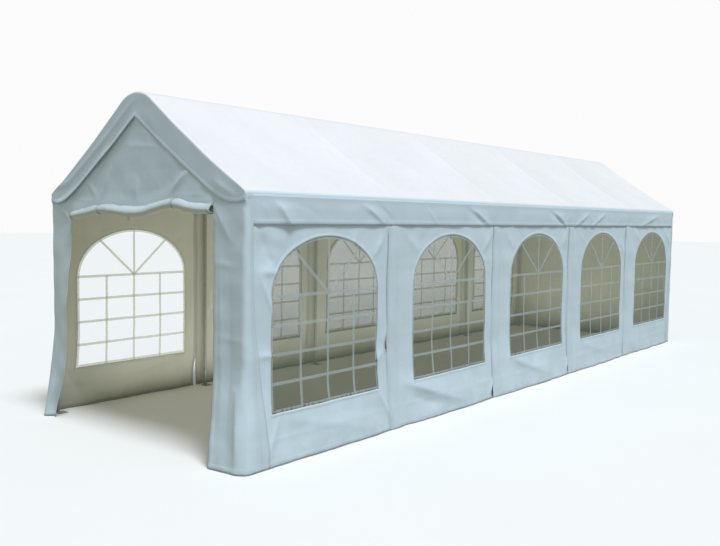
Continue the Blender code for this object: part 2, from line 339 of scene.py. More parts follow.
def bay_creases(seed):
    """Soft folds that each wall sheet has: below its window, and from its upper corners to the arch."""
    rng = np.random.default_rng(seed)
    creases = []
    for line in FRAME_LINES[:-1]:
        middle = line + BAY / 2
        way = rng.choice([-1, 1])
        low = rng.uniform(0.06, 0.20)
        reach = rng.uniform(0.1, 0.7)
        height = rng.uniform(0.008, 0.020)
        creases.append(((middle - way * 0.78, 0.44), (middle + way * reach, low), height, 0.045, 2.0))
        creases.append(((middle + way * 0.86, 0.50), (middle + way * 0.60, 0.08), 0.008, 0.035))
        creases.append(((middle - 0.86, 2.02), (middle - 0.50, 1.78), rng.uniform(0.004, 0.012), 0.025))
        creases.append(((middle + 0.88, 2.02), (middle + 0.52, 1.76), rng.uniform(0.004, 0.012), 0.025))
        creases.append(((middle - way * 0.84, 1.30), (middle - way * 0.75, 0.62), -0.007, 0.030))
    return creases


def side_swell(side, along, up):
    """How far a side wall stands out of its plane."""
    seed = 100 if side > 0 else 200
    middle = np.sin(math.pi * bay_phase(along))
    low = np.clip(1 - up / 0.8, 0, 1)
    from_line = np.abs(bay_phase(along + BAY / 2) - 0.5) * BAY
    from_joint = np.abs(bay_phase(along + JOINT_LEAD + BAY / 2) - 0.5) * BAY
    reach = 1 - 0.85 * smooth((along + 1) / 6) if side > 0 else 0.45
    swell = HEM_FLARE * reach * low**1.5 * (0.8 + 0.2 * middle)
    swell = swell + 0.012 * low * noise(along, up * 0.25, 0.19, seed + 1)
    swell = swell + 0.005 * low * noise(along, up * 0.3, 0.07, seed + 2)
    swell = swell + 0.008 * middle * np.sin(math.pi * np.clip(up / 2.1, 0, 1))
    swell = swell - 0.007 * bump(from_line, 0.18, 0.06) * (0.6 + 0.4 * noise(along, up, 0.4, seed + 3))
    swell = swell + 0.004 * bump(from_line, 0, 0.03)
    inner_joint = smooth((HALF_LENGTH - 1 - np.abs(along)) / 0.1)
    swell = swell - JOINT_VALLEY * np.exp(-from_joint / 0.022) * inner_joint
    for fold in (0.22, 0.935, 1.64):
        line = fold + 0.012 * noise(along, up * 0, 0.5, seed + 4)
        strength = 0.5 + 0.5 * noise(along, up * 0 + fold, 0.45, seed + 5)
        swell = swell + 0.004 * strength * np.exp(-np.abs(up - line) / 0.022)
    swell = swell + 0.007 * crumple(along, up, 0.42, seed + 6)
    if side > 0:
        swell = swell + add_creases(along, up, RIGHT_WALL_CREASES)
    else:
        swell = swell + add_creases(along, up, bay_creases(seed + 7))
    swell = swell + add_creases(along, up, random_creases(seed + 8, 34, (-4.9, 4.6), (0.1, 1.9), 0.012))
    return swell * smooth((2.06 - up) / 0.24)


def film_wave(side, bay, along, up):
    """Extra waves of the window film inside its window."""
    middle = FRAME_LINES[bay] + BAY / 2
    inset = np.minimum(WINDOW_HALF - np.abs(along - middle), np.minimum(up - WINDOW_SILL, WINDOW_TOP - up))
    wave = noise(along, up, 0.33, 300 + 10 * bay + (side > 0)) + 0.4 * noise(along, up, 0.12, 330 + bay)
    return 0.0045 * wave * smooth(inset / 0.12) - 0.0035 - 0.003 * smooth((0.01 - inset) / 0.02)


def valance_swell(side, along, drop):
    """How far a side valance stands out, at a drop below the eave."""
    seed = 400 if side > 0 else 500
    share = np.clip(drop / VALANCE, 0, 1)
    phase = bay_phase(along)
    billow = 0.008 * np.sin(math.pi * phase) ** 0.45
    swell = billow * share * (2 - share)
    swell = swell + 0.004 * share * noise(along, drop * 0.3, 0.16, seed + 1)
    swell = swell + 0.005 * share * crumple(along, drop, 0.22, seed + 2)
    up = EAVE - drop
    if side > 0:
        swell = swell + share**0.5 * add_creases(along, up, RIGHT_VALANCE_CREASES)
    creases = random_creases(seed + 3, 16, (-4.9, 4.6), (2.02, 2.12), 0.014)
    return np.maximum(swell + share**0.5 * add_creases(along, up, creases), -0.001)


def roof_swell(along, across, share):
    """How far a roof slope stands out of its plane: it sags between the frames. share is 0 at the eave
    and 1 at the ridge."""
    phase = bay_phase(along)
    sag = -ROOF_SAG * 4 * phase * (1 - phase) * np.sin(math.pi * np.clip(share, 0, 1)) ** 0.7
    lumps = 0.006 * crumple(along, across, 0.55, 41) + 0.004 * noise(along, across, 0.35, 42)
    seam = 0.0022 * smooth((0.024 - np.abs(np.abs(bay_phase(along + BAY / 2) - 0.5) * BAY - 0.03)) / 0.006)
    return sag + lumps * np.sin(math.pi * np.clip(share, 0.02, 0.98)) ** 0.5 + seam * smooth(share / 0.03)


# Creases of the front end: start and end across and up, height, width, lean
FRONT_CREASES = [
    ((-0.64, 2.26), (-0.90, 2.52), 0.014, 0.020),
    ((0.48, 2.24), (0.80, 2.52), 0.020, 0.018, 2.0),
    ((-0.66, 2.20), (-1.02, 2.26), 0.008, 0.022),
    ((0.62, 2.26), (1.00, 2.28), 0.007, 0.022),
    ((0.00, 2.14), (0.02, 2.44), 0.007, 0.03),
    ((-1.34, 2.10), (-1.10, 2.40), 0.010, 0.022),
    ((1.10, 2.20), (1.34, 1.86), 0.012, 0.020, 2.5),
    ((-0.60, 2.20), (-0.42, 2.46), 0.007, 0.028),
    ((-0.20, 2.745), (0.40, 2.700), 0.004, 0.018),
    ((-1.40, 2.25), (-1.12, 2.02), 0.011, 0.025),
    ((1.18, 1.95), (1.22, 0.30), 0.009, 0.03),
    ((1.30, 1.75), (1.31, 0.15), -0.009, 0.04),
    ((1.41, 0.70), (1.47, 0.06), 0.022, 0.035),
    ((1.12, 1.72), (1.44, 1.66), 0.005, 0.018),
    ((1.12, 1.10), (1.44, 1.07), 0.005, 0.018),
]


def end_swell(facing, across, up):
    """How far an end sheet stands out of its plane."""
    seed = 600 if facing < 0 else 700
    low = np.clip(1 - up / 0.9, 0, 1)
    swell = END_FLARE * low**1.5
    swell = swell + 0.009 * low * noise(across, up * 0.2, 0.2, seed + 1)
    swell = swell + 0.005 * noise(across, up * 0.2, 0.16, seed + 2) * smooth((2.3 - up) / 0.4)
    swell = swell + 0.008 * crumple(across, up, 0.38, seed + 3)
    for fold in (0.36, 1.07, 1.70):
        strength = 0.5 + 0.5 * noise(across, up * 0 + fold, 0.4, seed + 4)
        swell = swell + 0.0035 * strength * np.exp(-np.abs(up - fold) / 0.02)
    if facing < 0:
        swell = swell + add_creases(across, up, FRONT_CREASES)
    creases = random_creases(seed + 5, 16, (-1.4, 1.2), (0.2, 2.7), 0.012)
    swell = swell + add_creases(across, up, creases)
    near_roof = RIDGE - np.abs(across) * math.tan(PITCH) - up
    return np.minimum(swell * smooth(near_roof / 0.15), 0.002 + 0.06 * smooth((near_roof - 0.24) / 0.16))


def push_corner(points):
    """Flares the hem outwards at the corners, most at the left of the doorway, and eases it where it
    stands furthest out."""
    for side, facing, reach, forward in CORNER_FLARES:
        away_x = points[:, 0] - side * HALF_WIDTH
        away_y = points[:, 1] - facing * HALF_LENGTH
        near = np.exp(-(away_x**2 + away_y**2) / 0.30**2)
        lift = np.clip(1 - points[:, 2] / 0.85, 0, 1) ** 1.1
        points[:, 0] += side * reach * near * lift
        points[:, 1] += facing * forward * near * lift
    past = np.abs(points[:, 0]) - HALF_WIDTH - FLARE_START
    eased = FLARE_REST * (1 - np.exp(-np.clip(past, 0, None) / FLARE_REST))
    points[:, 0] -= np.sign(points[:, 0]) * np.where(past > 0, past - eased, 0)
    return points


# Meshes

def number_points(grid):
    """Point numbers of a grid of points."""
    return np.arange(grid[..., 0].size).reshape(grid.shape[:-1])


def grid_quads(index, flip=False):
    """Faces of a grid of point numbers."""
    quads = np.stack([index[:-1, :-1], index[:-1, 1:], index[1:, 1:], index[1:, :-1]], -1).reshape(-1, 4)
    return quads[:, ::-1] if flip else quads


def link_object(name, data):
    obj = bpy.data.objects.new(name, data)
    bpy.context.scene.collection.objects.link(obj)
    return obj


def make_piece(
    name, points, quads, cloth_place, edge, materials, double=None, thickness=CLOTH, offset=-1.0
):
    """A sheet as a mesh object. For its materials, cloth_place is each point's place on the flat cloth,
    edge its distance from the nearest edge, and double is 1 where the cloth lies double, which the
    materials paint darker as painted shade, for the less light that comes through two layers. The quads
    face out."""
    mesh = bpy.data.meshes.new(name)
    mesh.from_pydata(points.tolist(), [], quads.tolist())
    mesh.update()
    corners = np.empty(len(mesh.loops), np.int32)
    mesh.loops.foreach_get("vertex_index", corners)
    layer = mesh.uv_layers.new(name="cloth")
    layer.data.foreach_set("uv", cloth_place[corners].astype(np.float32).ravel())
    if double is None:
        double = smooth((HEM + 0.002 - np.asarray(edge)) / 0.003)
    for key, values in (("edge", edge), ("double", double)):
        attribute = mesh.attributes.new(key, "FLOAT", "POINT")
        attribute.data.foreach_set("value", np.asarray(values, np.float32).ravel())
    mesh.shade_smooth()
    obj = link_object(name, mesh)
    for material in materials:
        mesh.materials.append(material)
    if thickness:
        solid = obj.modifiers.new("Thickness", "SOLIDIFY")
        solid.thickness = thickness
        solid.offset = offset
        solid.material_offset = len(materials) - 1
        solid.material_offset_rim = 0
    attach(obj, "root")
    return obj


class Patchwork:
    """Grids of points that make one piece: its points, their places on the flat cloth and from its edge,
    and the faces between them."""

    def __init__(self):
        self.points = []
        self.cloth = []
        self.edge = []
        self.quads = []
        self.count = 0

    def add(self, points, cloth, edge):
        """Adds a grid and gives its point numbers."""
        index = self.count + number_points(points)
        self.count += index.size
        self.points.append(points.reshape(-1, 3))
        self.cloth.append(cloth.reshape(-1, 2))
        self.edge.append(np.broadcast_to(edge, index.shape).ravel())
        return index

    def make(self, name, materials, **settings):
        arrays = [np.concatenate(rows) for rows in (self.points, self.quads, self.cloth, self.edge)]
        return make_piece(name, *arrays, materials, **settings)


def stations(low, high, step):
    return np.linspace(low, high, max(2, int(round((high - low) / step)) + 1))


def with_hem(length, step):
    """Distances up a sheet from its hem, close together where the hem's step is."""
    start = [0, 0.5 * HEM, HEM, HEM + 0.004]
    return np.concatenate([start, stations(HEM + 0.02, length, step)])


# Roof cover

def roof_section():
    """Points across the roof from the right eave's seam over the ridge to the left one. Gives place across
    and up, the way each faces and its share of the slope."""
    tilt = math.pi / 2 - PITCH
    centre_x = HALF_WIDTH - EAVE_FOLD
    centre_z = EAVE - EAVE_SEAM
    rows = [(HALF_WIDTH - LAP_TUCK, centre_z - SEAM_LAP, 0.0, 0.0)]
    for angle in np.linspace(0, tilt, 6):
        x = centre_x + EAVE_FOLD * math.cos(angle)
        rows.append((x, centre_z + EAVE_FOLD * math.sin(angle), angle, 0.0))
    ridge_z = RIDGE + RIDGE_LIFT - RIDGE_FOLD
    start = np.array(rows[-1][:2])
    end = np.array([RIDGE_FOLD * math.cos(tilt), ridge_z + RIDGE_FOLD * math.sin(tilt)])
    for share in np.linspace(0, 1, 32)[1:]:
        x, z = start + (end - start) * share
        rows.append((x, z - SLOPE_DIP * math.sin(math.pi * share), tilt, share))
    for angle in np.linspace(tilt, math.pi / 2, 5)[1:]:
        rows.append((RIDGE_FOLD * math.cos(angle), ridge_z + RIDGE_FOLD * math.sin(angle), angle, 1.0))
    right = np.array(rows)
    left = right[-2::-1].copy()
    left[:, 0] *= -1
    left[:, 2] = math.pi - left[:, 2]
    return np.concatenate([right, left])


def rake_hem(across):
    """Height of the hem of the valance that hangs down a rake: it runs level near the corners, where its
    ends are rounded off."""
    slope = RAKE_HEM_TOP + RAKE_HEM_RISE * np.exp(-np.abs(across) / 0.35) - np.abs(across) * math.tan(PITCH)
    softness = 0.035
    level = softness * np.logaddexp(slope / softness, RAKE_HEM_CORNER / softness)
    return level + 0.020 * smooth((np.abs(across) - 1.40) / 0.09)


def rake_fold(across):
    """Radius of the fold along a rake, tighter at the corners."""
    return RAKE_FOLD + (RAKE_FOLD_AT_CORNER - RAKE_FOLD) * smooth((np.abs(across) - 1.25) / 0.17)


def round_corners(points):
    """Rounds the cover's four corners in plan."""
    inner = (HALF_WIDTH - ROOF_CORNER, HALF_LENGTH - ROOF_CORNER)
    past = [np.abs(points[..., k]) - inner[k] for k in range(2)]
    outside = (past[0] > 0) & (past[1] > 0)
    pull = np.where(outside, np.maximum(*past) / np.hypot(*past), 1.0)
    rounded = points.copy()
    for k in range(2):
        reach = np.where(outside, inner[k] + past[k] * pull, np.abs(points[..., k]))
        rounded[..., k] = np.sign(points[..., k]) * reach
    return rounded


# Creases of the valance down the front rakes, in the same form
RAKE_CREASES = [
    ((1.33, 2.36), (1.49, 2.17), -0.014, 0.03),
    ((1.10, 2.40), (1.42, 2.24), 0.014, 0.03, 1.5),
    ((1.10, 2.50), (1.22, 2.22), 0.008, 0.03),
    ((-1.30, 2.38), (-1.42, 2.18), -0.010, 0.03),
    ((0.20, 3.06), (0.30, 2.82), 0.006, 0.03),
    ((-0.45, 2.90), (-0.52, 2.66), 0.006, 0.03),
]


def rake_flap(top, facing):
    """The valance down a rake, in columns below the points of the roof's edge. Gives its points, and how
    far each is below the edge, past the start of the fold and above the hem."""
    folds = np.radians(RAKE_FOLD_STEPS)
    radius = rake_fold(top[:, 0])
    deep = top[:, 2] - rake_hem(top[:, 0]) - radius
    drops = [radius * (1 - math.cos(fold)) for fold in folds]
    backs = [RAKE_FOLD - radius * (1 - math.sin(fold)) for fold in folds]
    squeezed = np.minimum(1, deep / 0.1)
    above_hem = (HEM + 0.004) * squeezed
    for part in np.linspace(1, 0, 13)[1:]:
        drops.append(radius + deep - above_hem - (deep - above_hem) * part)
        backs.append(RAKE_FOLD + 0 * deep)
    for up in (HEM, 0.5 * HEM, 0):
        drops.append(radius + deep - up * squeezed)
        backs.append(RAKE_FOLD + 0 * deep)
    drops = np.array(drops)
    backs = np.array(backs)
    across = np.broadcast_to(top[:, 0], drops.shape)
    up = top[:, 2] - drops
    hem = np.clip(deep + radius - drops, 0, None)
    share = smooth((drops - radius) / VALANCE)
    flat_side = smooth((across + 0.10) / 0.15) * (facing < 0)
    swell = 0.005 * share * (1 + noise(across, up, 0.2, 810 + facing)) * (1 - 0.7 * flat_side)
    swell = swell + 0.006 * share * crumple(across, up, 0.25, 820 + facing) * (1 - 0.5 * flat_side)
    kick = 0.018 * smooth(1 - hem / 0.07) - 0.008 * bump(hem, 0.11, 0.04)
    kick = kick + 0.006 * bump(hem, 0.17, 0.03)
    swell = swell + kick * (1 - flat_side) * smooth((deep - 0.1) / 0.1)
    if facing < 0:
        swell = swell + share**0.5 * add_creases(across, up, RAKE_CREASES)
    swell = np.maximum(swell, -0.001) * smooth((HALF_WIDTH - np.abs(across)) / 0.06) + hem_step(hem)
    y = facing * (HALF_LENGTH - RAKE_FOLD + backs + swell)
    return np.stack([across, y, up], -1), drops, backs, hem


def corner_patch(fold, facing, height):
    """The points below a rake's fold at the eave, which close the cover's corner."""
    points = fold.copy()
    points[:, 0] -= np.sign(points[:, 0]) * LAP_TUCK
    points[:, 1] -= facing * LAP_TUCK
    points[:, 2] = height
    return points


def build_roof(materials):
    """One folded sheet: both slopes, and a valance down each rake."""
    section = roof_section()
    along = stations(-HALF_LENGTH + RAKE_FOLD, HALF_LENGTH - RAKE_FOLD, BAY / 72)
    y, x = np.meshgrid(along, section[:, 0], indexing="ij")
    z, angle, share = (np.broadcast_to(section[:, k], x.shape) for k in (1, 2, 3))
    out = roof_swell(y, x, share)
    points = np.stack([x + out * np.cos(angle), y, z + out * np.sin(angle)], -1)
    steps = np.hypot(np.diff(section[:, 0]), np.diff(section[:, 1]))
    lengths = np.concatenate([[0], np.cumsum(steps)])
    from_seam = np.minimum(lengths, lengths[-1] - lengths)
    past_seam = np.clip(from_seam - SEAM_LAP - 0.4 * EAVE_FOLD, 0, None)
    patches = Patchwork()
    cloth = np.stack([y, np.broadcast_to(lengths, x.shape)], -1)
    # The edge value blends the roof's painted highlight into the valance's painted shade near the seams;
    # the rake valances and corner patches get the painted shade
    index = patches.add(points, cloth, BORDER_EDGE + 5 * past_seam)
    patches.quads.append(grid_quads(index)[:, ::-1])
    columns = np.arange(1, len(section) - 1)
    folds = len(RAKE_FOLD_STEPS)
    for facing, row in ((-1, 0), (1, -1)):
        flap, drops, backs, hem = rake_flap(points[row, columns], facing)
        run = facing * (HALF_LENGTH - RAKE_FOLD) + facing * (drops + 0.57 * np.minimum(drops, RAKE_FOLD))
        cloth = np.stack([run, np.broadcast_to(lengths[columns], run.shape)], -1)
        edge = hem + 0.25 * (1 - smooth(backs / RAKE_FOLD)) + 0.25 * (backs < RAKE_FOLD)
        flap_index = patches.add(flap, cloth, edge)
        joined = np.concatenate([index[row, columns][None], flap_index])
        patches.quads.append(grid_quads(joined, flip=facing > 0))
        for column, seam_row in ((0, 0), (-1, len(section) - 1)):
            corner = corner_patch(flap[:folds, column], facing, points[row, seam_row, 2])
            corner_index = patches.add(corner, corner[:, 1:], 0.2)
            lower = np.concatenate([[index[row, seam_row]], corner_index])
            pair = np.stack([lower, joined[: folds + 1, column]], 1)
            patches.quads.append(grid_quads(pair, flip=(facing > 0) != (column < 0)))
    patches.points = [round_corners(part) for part in patches.points]
    roof = patches.make("roof_sheet", materials)
    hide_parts("roof_cover")


def build_valance(side_name, side, materials):
    """The valance along one eave, sewn on over the edge of the eave's fold. Its ends lie under the end
    sheets' corner strips, but for the one at the left of the doorway, which hangs free."""
    top = EAVE_SEAM - VALANCE_LAP
    drops = VALANCE - with_hem(VALANCE - top, 0.016)
    along = stations(-HALF_LENGTH + CORNER_FOLD, HALF_LENGTH - CORNER_FOLD, BAY / 136)
    y, drop = np.meshgrid(along, drops, indexing="ij")
    share = np.clip((drop - EAVE_SEAM - SEAM_LAP) / (VALANCE - EAVE_SEAM - SEAM_LAP), 0, 1)
    swell = valance_swell(side, y, drop) + hem_step(VALANCE - drop)
    seam = SEAM_RISE * (1 - smooth((drop - EAVE_SEAM - SEAM_LAP) / 0.02))
    strip_edge = END_FACE - CORNER_FOLD - wrap_width(EAVE - drop)
    under_strip = smooth((np.abs(y) - strip_edge + 0.05) / 0.045)
    if side < 0:
        free = smooth((-4.3 - y) / 0.5)
        under_strip = under_strip * (1 - free)
        swell = swell * (1 - 0.8 * free)
    pressed = 0.0004 - 0.0036 * smooth((drop - EAVE_SEAM) / 0.03)
    out = (swell * smooth(share / 0.45) + seam) * (1 - under_strip) + pressed * under_strip
    points = round_corners(np.stack([side * (HALF_WIDTH + out), y, EAVE - drop], -1))
    quads = grid_quads(number_points(points), flip=side > 0)
    cloth = np.stack([y, drop], -1).reshape(-1, 2)
    name = f"{side_name}_valance"
    valance = make_piece(name, points.reshape(-1, 3), quads, cloth, VALANCE - drop, materials)
    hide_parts("roof_cover")


# Side walls

def joint_line(side, joint, up):
    """Place along the wall where two sheets meet, ahead of the frame line. Joints 0 and 5 are the
    corners."""
    if joint == 0:
        return np.full_like(up, -HALF_LENGTH + CORNER_LAP)
    if joint == BAYS:
        return np.full_like(up, HALF_LENGTH - CORNER_LAP)
    wander = 0.008 * noise(up, up * 0 + joint, 0.5, 900 + joint + (side > 0) * 10)
    if (side, joint) == (-1, 1):
        wander = wander + 0.045 * bump(up, 0, 0.28)
    return FRAME_LINES[joint] - JOINT_LEAD + wander


# Gaps between sheets, by side and joint: height of each one's middle, its width and how far it reaches
SLITS = {
    (1, 1): ((2.00, 0.012, 0.07), (0.87, 0.060, 0.12), (0.30, 0.014, 0.30)),
    (1, 2): ((0.08, 0.075, 0.09), (0.90, 0.010, 0.40)),
    (1, 3): ((0.08, 0.065, 0.10), (1.10, 0.010, 0.40)),
    (1, 4): ((0.60, 0.014, 0.40),),
    (-1, 1): ((0.10, 0.050, 0.20),),
}


def joint_gap(side, joint, up):
    """How far the sheet before a joint draws back from it."""
    if joint in (0, BAYS):
        return 0 * up
    rng = np.random.default_rng(940 + joint + (side > 0) * 10)
    slits = SLITS.get((side, joint))
    if slits is None:
        ranges = ((0.1, 2.0), (0.002, 0.008), (0.1, 0.3))
        slits = [[rng.uniform(*limits) for limits in ranges] for _ in range(4)]
    gap = 0.002 + 0 * up
    for middle, width, reach in slits:
        gap = gap + width * bump(up, middle, reach)
    return gap


def window_stations(middle, low, high):
    """Matched points round a window's edge and round its sheet's edge, both from the lower left."""
    rise = WINDOW_TOP - WINDOW_SPRING
    half = BAY / 2
    corner = math.atan2(WALL_TOP - WINDOW_SPRING, half)
    turn = math.atan2(math.sin(corner) / rise, math.cos(corner) / WINDOW_HALF)
    inner = []
    outer = []
    for share in np.linspace(0, 1, 73)[:-1]:
        inner.append((middle - WINDOW_HALF + 2 * WINDOW_HALF * share, WINDOW_SILL))
        outer.append((low + (high - low) * share, GROUND_CLEARANCE))
    for share in np.linspace(0, 1, 51)[:-1]:
        inner.append((middle + WINDOW_HALF, WINDOW_SILL + (WINDOW_SPRING - WINDOW_SILL) * share))
        outer.append((high, GROUND_CLEARANCE + (WINDOW_SPRING - GROUND_CLEARANCE) * share))
    turns = np.concatenate([
        np.linspace(0, turn, 23)[:-1],
        np.linspace(turn, math.pi - turn, 67)[:-1],
        np.linspace(math.pi - turn, math.pi, 23)[:-1],
    ])
    for angle in turns:
        x = WINDOW_HALF * math.cos(angle)
        z = rise * math.sin(angle)
        reach = min(half / max(abs(x), 1e-9), (WALL_TOP - WINDOW_SPRING) / max(z, 1e-9))
        inner.append((middle + x, WINDOW_SPRING + z))
        edge = high if x > 0 else low
        outer.append((middle + abs(edge - middle) / half * x * reach, WINDOW_SPRING + z * reach))
    for share in np.linspace(1, 0, 51)[:-1]:
        inner.append((middle - WINDOW_HALF, WINDOW_SILL + (WINDOW_SPRING - WINDOW_SILL) * share))
        outer.append((low, GROUND_CLEARANCE + (WINDOW_SPRING - GROUND_CLEARANCE) * share))
    return np.array(inner), np.array(outer)


def side_points(side, along, up, out):
    """Points on a side wall, this far out of its outer face."""
    points = np.stack([side * (WALL_FACE + out), along, up + 0 * along], -1).reshape(-1, 3)
    return push_corner(points)


def build_wall_sheet(side_name, side, bay, materials):
    """One bay's hanging sheet, as rings of points from its window out to its edge."""
    middle = FRAME_LINES[bay] + BAY / 2
    low = float(joint_line(side, bay, np.array(1.0)))
    high = float(joint_line(side, bay + 1, np.array(1.0)))
    inner, outer = window_stations(middle, low, high)
    rays = outer - inner
    length = np.hypot(rays[:, 0], rays[:, 1])
    near = np.array([0, 0.011, 0.022, 0.025])
    hem = np.array([HEM + 0.004, HEM, 0.5 * HEM, 0])
    shares = [near[k] / length for k in range(4)]
    inside = np.linspace(0, 1, 26)[1:-1]
    first = shares[-1]
    last = 1 - hem[0] / length
    shares += [first + (last - first) * share for share in inside]
    shares += [1 - hem[k] / length for k in range(4)]
    share = np.array(shares)
    flat = inner[None] + rays[None] * share[..., None]
    along, up = flat[..., 0], flat[..., 1]
    rim = share * length
    hem_edge = np.minimum.reduce([up - GROUND_CLEARANCE, along - low, high - along])
    gap = joint_gap(side, bay + 1, up)
    start_shift = joint_line(side, bay, up) - JOINT_OVERLAP * (bay > 0) - low
    end_shift = joint_line(side, bay + 1, up) - gap - high
    hung = along + start_shift * np.exp(-(along - low) / 0.10) + end_shift * np.exp(-(high - along) / 0.10)
    out = side_swell(side, hung, up)
    out = out + hem_step(hem_edge) + HEM_RISE * smooth((0.025 - rim) / 0.003)
    curl = np.exp(-(high - along) / 0.03) * np.minimum(gap, 0.02) * 0.7
    out = out + curl + 0.0015 * np.exp(-(along - low) / 0.03)
    if bay > 0:
        out = out + 0.006 * np.sqrt(np.clip(1 - ((along - low) / JOINT_LAP) ** 2, 0, 1))
    under_valance = 0.0015 + 0.012 * smooth((EAVE - VALANCE + 0.01 - up) / 0.03)
    out = np.minimum(out, under_valance + 0.1 * smooth((2.03 - up) / 0.11))
    behind = smooth((np.abs(hung) - HALF_LENGTH + 0.25) / 0.10) * smooth((up - 1.99) / 0.05)
    out = out - 0.008 * behind
    points = side_points(side, hung, up, out)
    rings, around = share.shape
    index = np.arange(rings * around).reshape(rings, around)
    index = np.concatenate([index, index[:, :1]], 1)
    quads = grid_quads(index, flip=side < 0)[:, ::-1]
    cloth = np.stack([along, up], -1).reshape(-1, 2)
    edge = np.minimum(hem_edge, rim + 0.01).ravel()
    # Where the cloth lies double, at the hems and over the lap band of each joint, the materials paint it
    # darker: painted shade
    double = smooth((HEM + 0.002 - hem_edge) / 0.003)
    if bay > 0:
        double = np.maximum(double, 0.3 * smooth((JOINT_LAP - (along - low)) / 0.012))
    name = f"{side_name}_wall_sheet_{bay + 1}"
    sheet = make_piece(name, points, quads, cloth, edge, materials, double.ravel())
    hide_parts(f"{side_name}_wall_panel_{bay + 1}")
    window_area = 2 * WINDOW_HALF * (WINDOW_SPRING - WINDOW_SILL)
    window_area += math.pi / 2 * WINDOW_HALF * (WINDOW_TOP - WINDOW_SPRING)


def film_place(side, bay, along, up, proud=0.0):
    """A place on a window's film, as a point: proud of it, or on it."""
    out = side_swell(side, along, up) + film_wave(side, bay, along, up) + proud
    return side_points(side, along, up, out)


def build_film(side_name, side, bay, material):
    """The clear film of one window, welded behind its sheet, which carries the window's bars."""
    middle = FRAME_LINES[bay] + BAY / 2
    rise = WINDOW_TOP - WINDOW_SPRING + FILM_LAP
    ups = [*stations(WINDOW_SILL - FILM_LAP, WINDOW_SILL + 0.03, 0.01)]
    ups += [*stations(WINDOW_SILL + 0.06, WINDOW_SPRING, 0.036)]
    halves = [WINDOW_HALF + FILM_LAP] * len(ups)
    for angle in np.radians(np.linspace(0, 84, 18))[1:]:
        ups.append(WINDOW_SPRING + rise * math.sin(angle))
        halves.append((WINDOW_HALF + FILM_LAP) * math.cos(angle))
    shares = np.linspace(-1, 1, 41)
    along = middle + np.array(halves)[:, None] * shares[None]
    up = np.array(ups)[:, None] + 0 * along
    points = film_place(side, bay, along, up)
    index = np.arange(along.size).reshape(along.shape)
    quads = grid_quads(index, flip=side < 0)
    cloth = np.stack([along, up], -1).reshape(-1, 2)
    film = make_piece(
        f"{side_name}_film_{bay + 1}", points, quads, cloth, 1 + 0 * along, [material], thickness=0
    )
    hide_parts(f"{side_name}_window_film")


def bar_paths(middle):
    """Centre lines of a window's bars, along and up: the frame's edge, rows, columns and rays."""
    rise = WINDOW_TOP - WINDOW_SPRING
    paths = []
    rows = 4
    for row in range(1, rows + 1):
        z = WINDOW_SILL + (WINDOW_SPRING - WINDOW_SILL) * row / rows
        paths.append([(middle - WINDOW_HALF, z), (middle + WINDOW_HALF, z)])
    for column in (-0.5, 0, 0.5):
        x = middle + column * WINDOW_HALF
        paths.append([(x, WINDOW_SILL), (x, WINDOW_SPRING)])
    for angle in np.radians([42, 90, 138]):
        direction = (math.cos(angle), math.sin(angle))
        reach = 1 / math.hypot(direction[0] / WINDOW_HALF, direction[1] / rise)
        end = (middle + reach * direction[0], WINDOW_SPRING + reach * direction[1])
        paths.append([(middle, WINDOW_SPRING), end])
    return paths


def ribbon(line, width, closed):
    """Three lines of points, which make a strip of this width along a line."""
    if closed:
        ahead = np.roll(line, -1, 0) - np.roll(line, 1, 0)
    else:
        ahead = np.gradient(line, axis=0)
    ahead /= np.hypot(ahead[:, 0], ahead[:, 1])[:, None]
    sideways = np.stack([-ahead[:, 1], ahead[:, 0]], -1)
    return np.stack([line + sideways * width * k for k in (0.5, 0, -0.5)])


def build_bars(side_name, side, bay, material):
    """The strips printed on one window's film: rows, columns, rays and a border."""
    middle = FRAME_LINES[bay] + BAY / 2
    patches = Patchwork()

    def add_ribbon(line, proud, closed=False):
        lines = ribbon(line, BAR_WIDTH, closed)
        points = film_place(side, bay, lines[..., 0], lines[..., 1], proud)
        index = patches.add(points.reshape(*lines.shape[:2], 3), lines, 1.0)
        if closed:
            index = np.concatenate([index, index[:, :1]], 1)
        patches.quads.append(grid_quads(index, flip=side > 0))

    for number, (start, end) in enumerate(bar_paths(middle)):
        steps = max(6, int(math.dist(start, end) / 0.03))
        share = np.linspace(0, 1, steps + 1)[:, None]
        line = np.array(start) + (np.array(end) - np.array(start)) * share
        add_ribbon(line, 0.0008 if number < 4 else 0.0014)
    inner, _ = window_stations(middle, middle - BAY / 2, middle + BAY / 2)
    centre = np.array([middle, WINDOW_SPRING])
    border = centre + (inner - centre) * (1 - 0.5 * BAR_WIDTH)
    add_ribbon(border[::2], 0.0003, closed=True)
    bars = patches.make(f"{side_name}_bars_{bay + 1}", [material], thickness=0)
    return bars


# End sheets

def roll_height(across):
    """Height of the roll's middle: a smooth curve through its places."""
    places = np.array([x for x, _ in ROLL_HANG])
    heights = np.array([EAVE - hang for _, hang in ROLL_HANG])
    slopes = np.gradient(heights, places)
    across = np.clip(across, places[0], places[-1])
    part = np.clip(np.searchsorted(places, across) - 1, 0, len(places) - 2)
    span = places[part + 1] - places[part]
    t = (across - places[part]) / span
    ends = heights[part] * (1 + 2 * t) * (1 - t) ** 2 + heights[part + 1] * t**2 * (3 - 2 * t)
    return ends + span * (slopes[part] * t * (1 - t) ** 2 - slopes[part + 1] * t**2 * (1 - t))


def wrap_width(up):
    width = WRAP_HEM_WIDTH + (WRAP_TOP_WIDTH - WRAP_HEM_WIDTH) * smooth(up / 1.6)
    return width * (1 - 0.6 * smooth((up - 2.06) / 0.2))


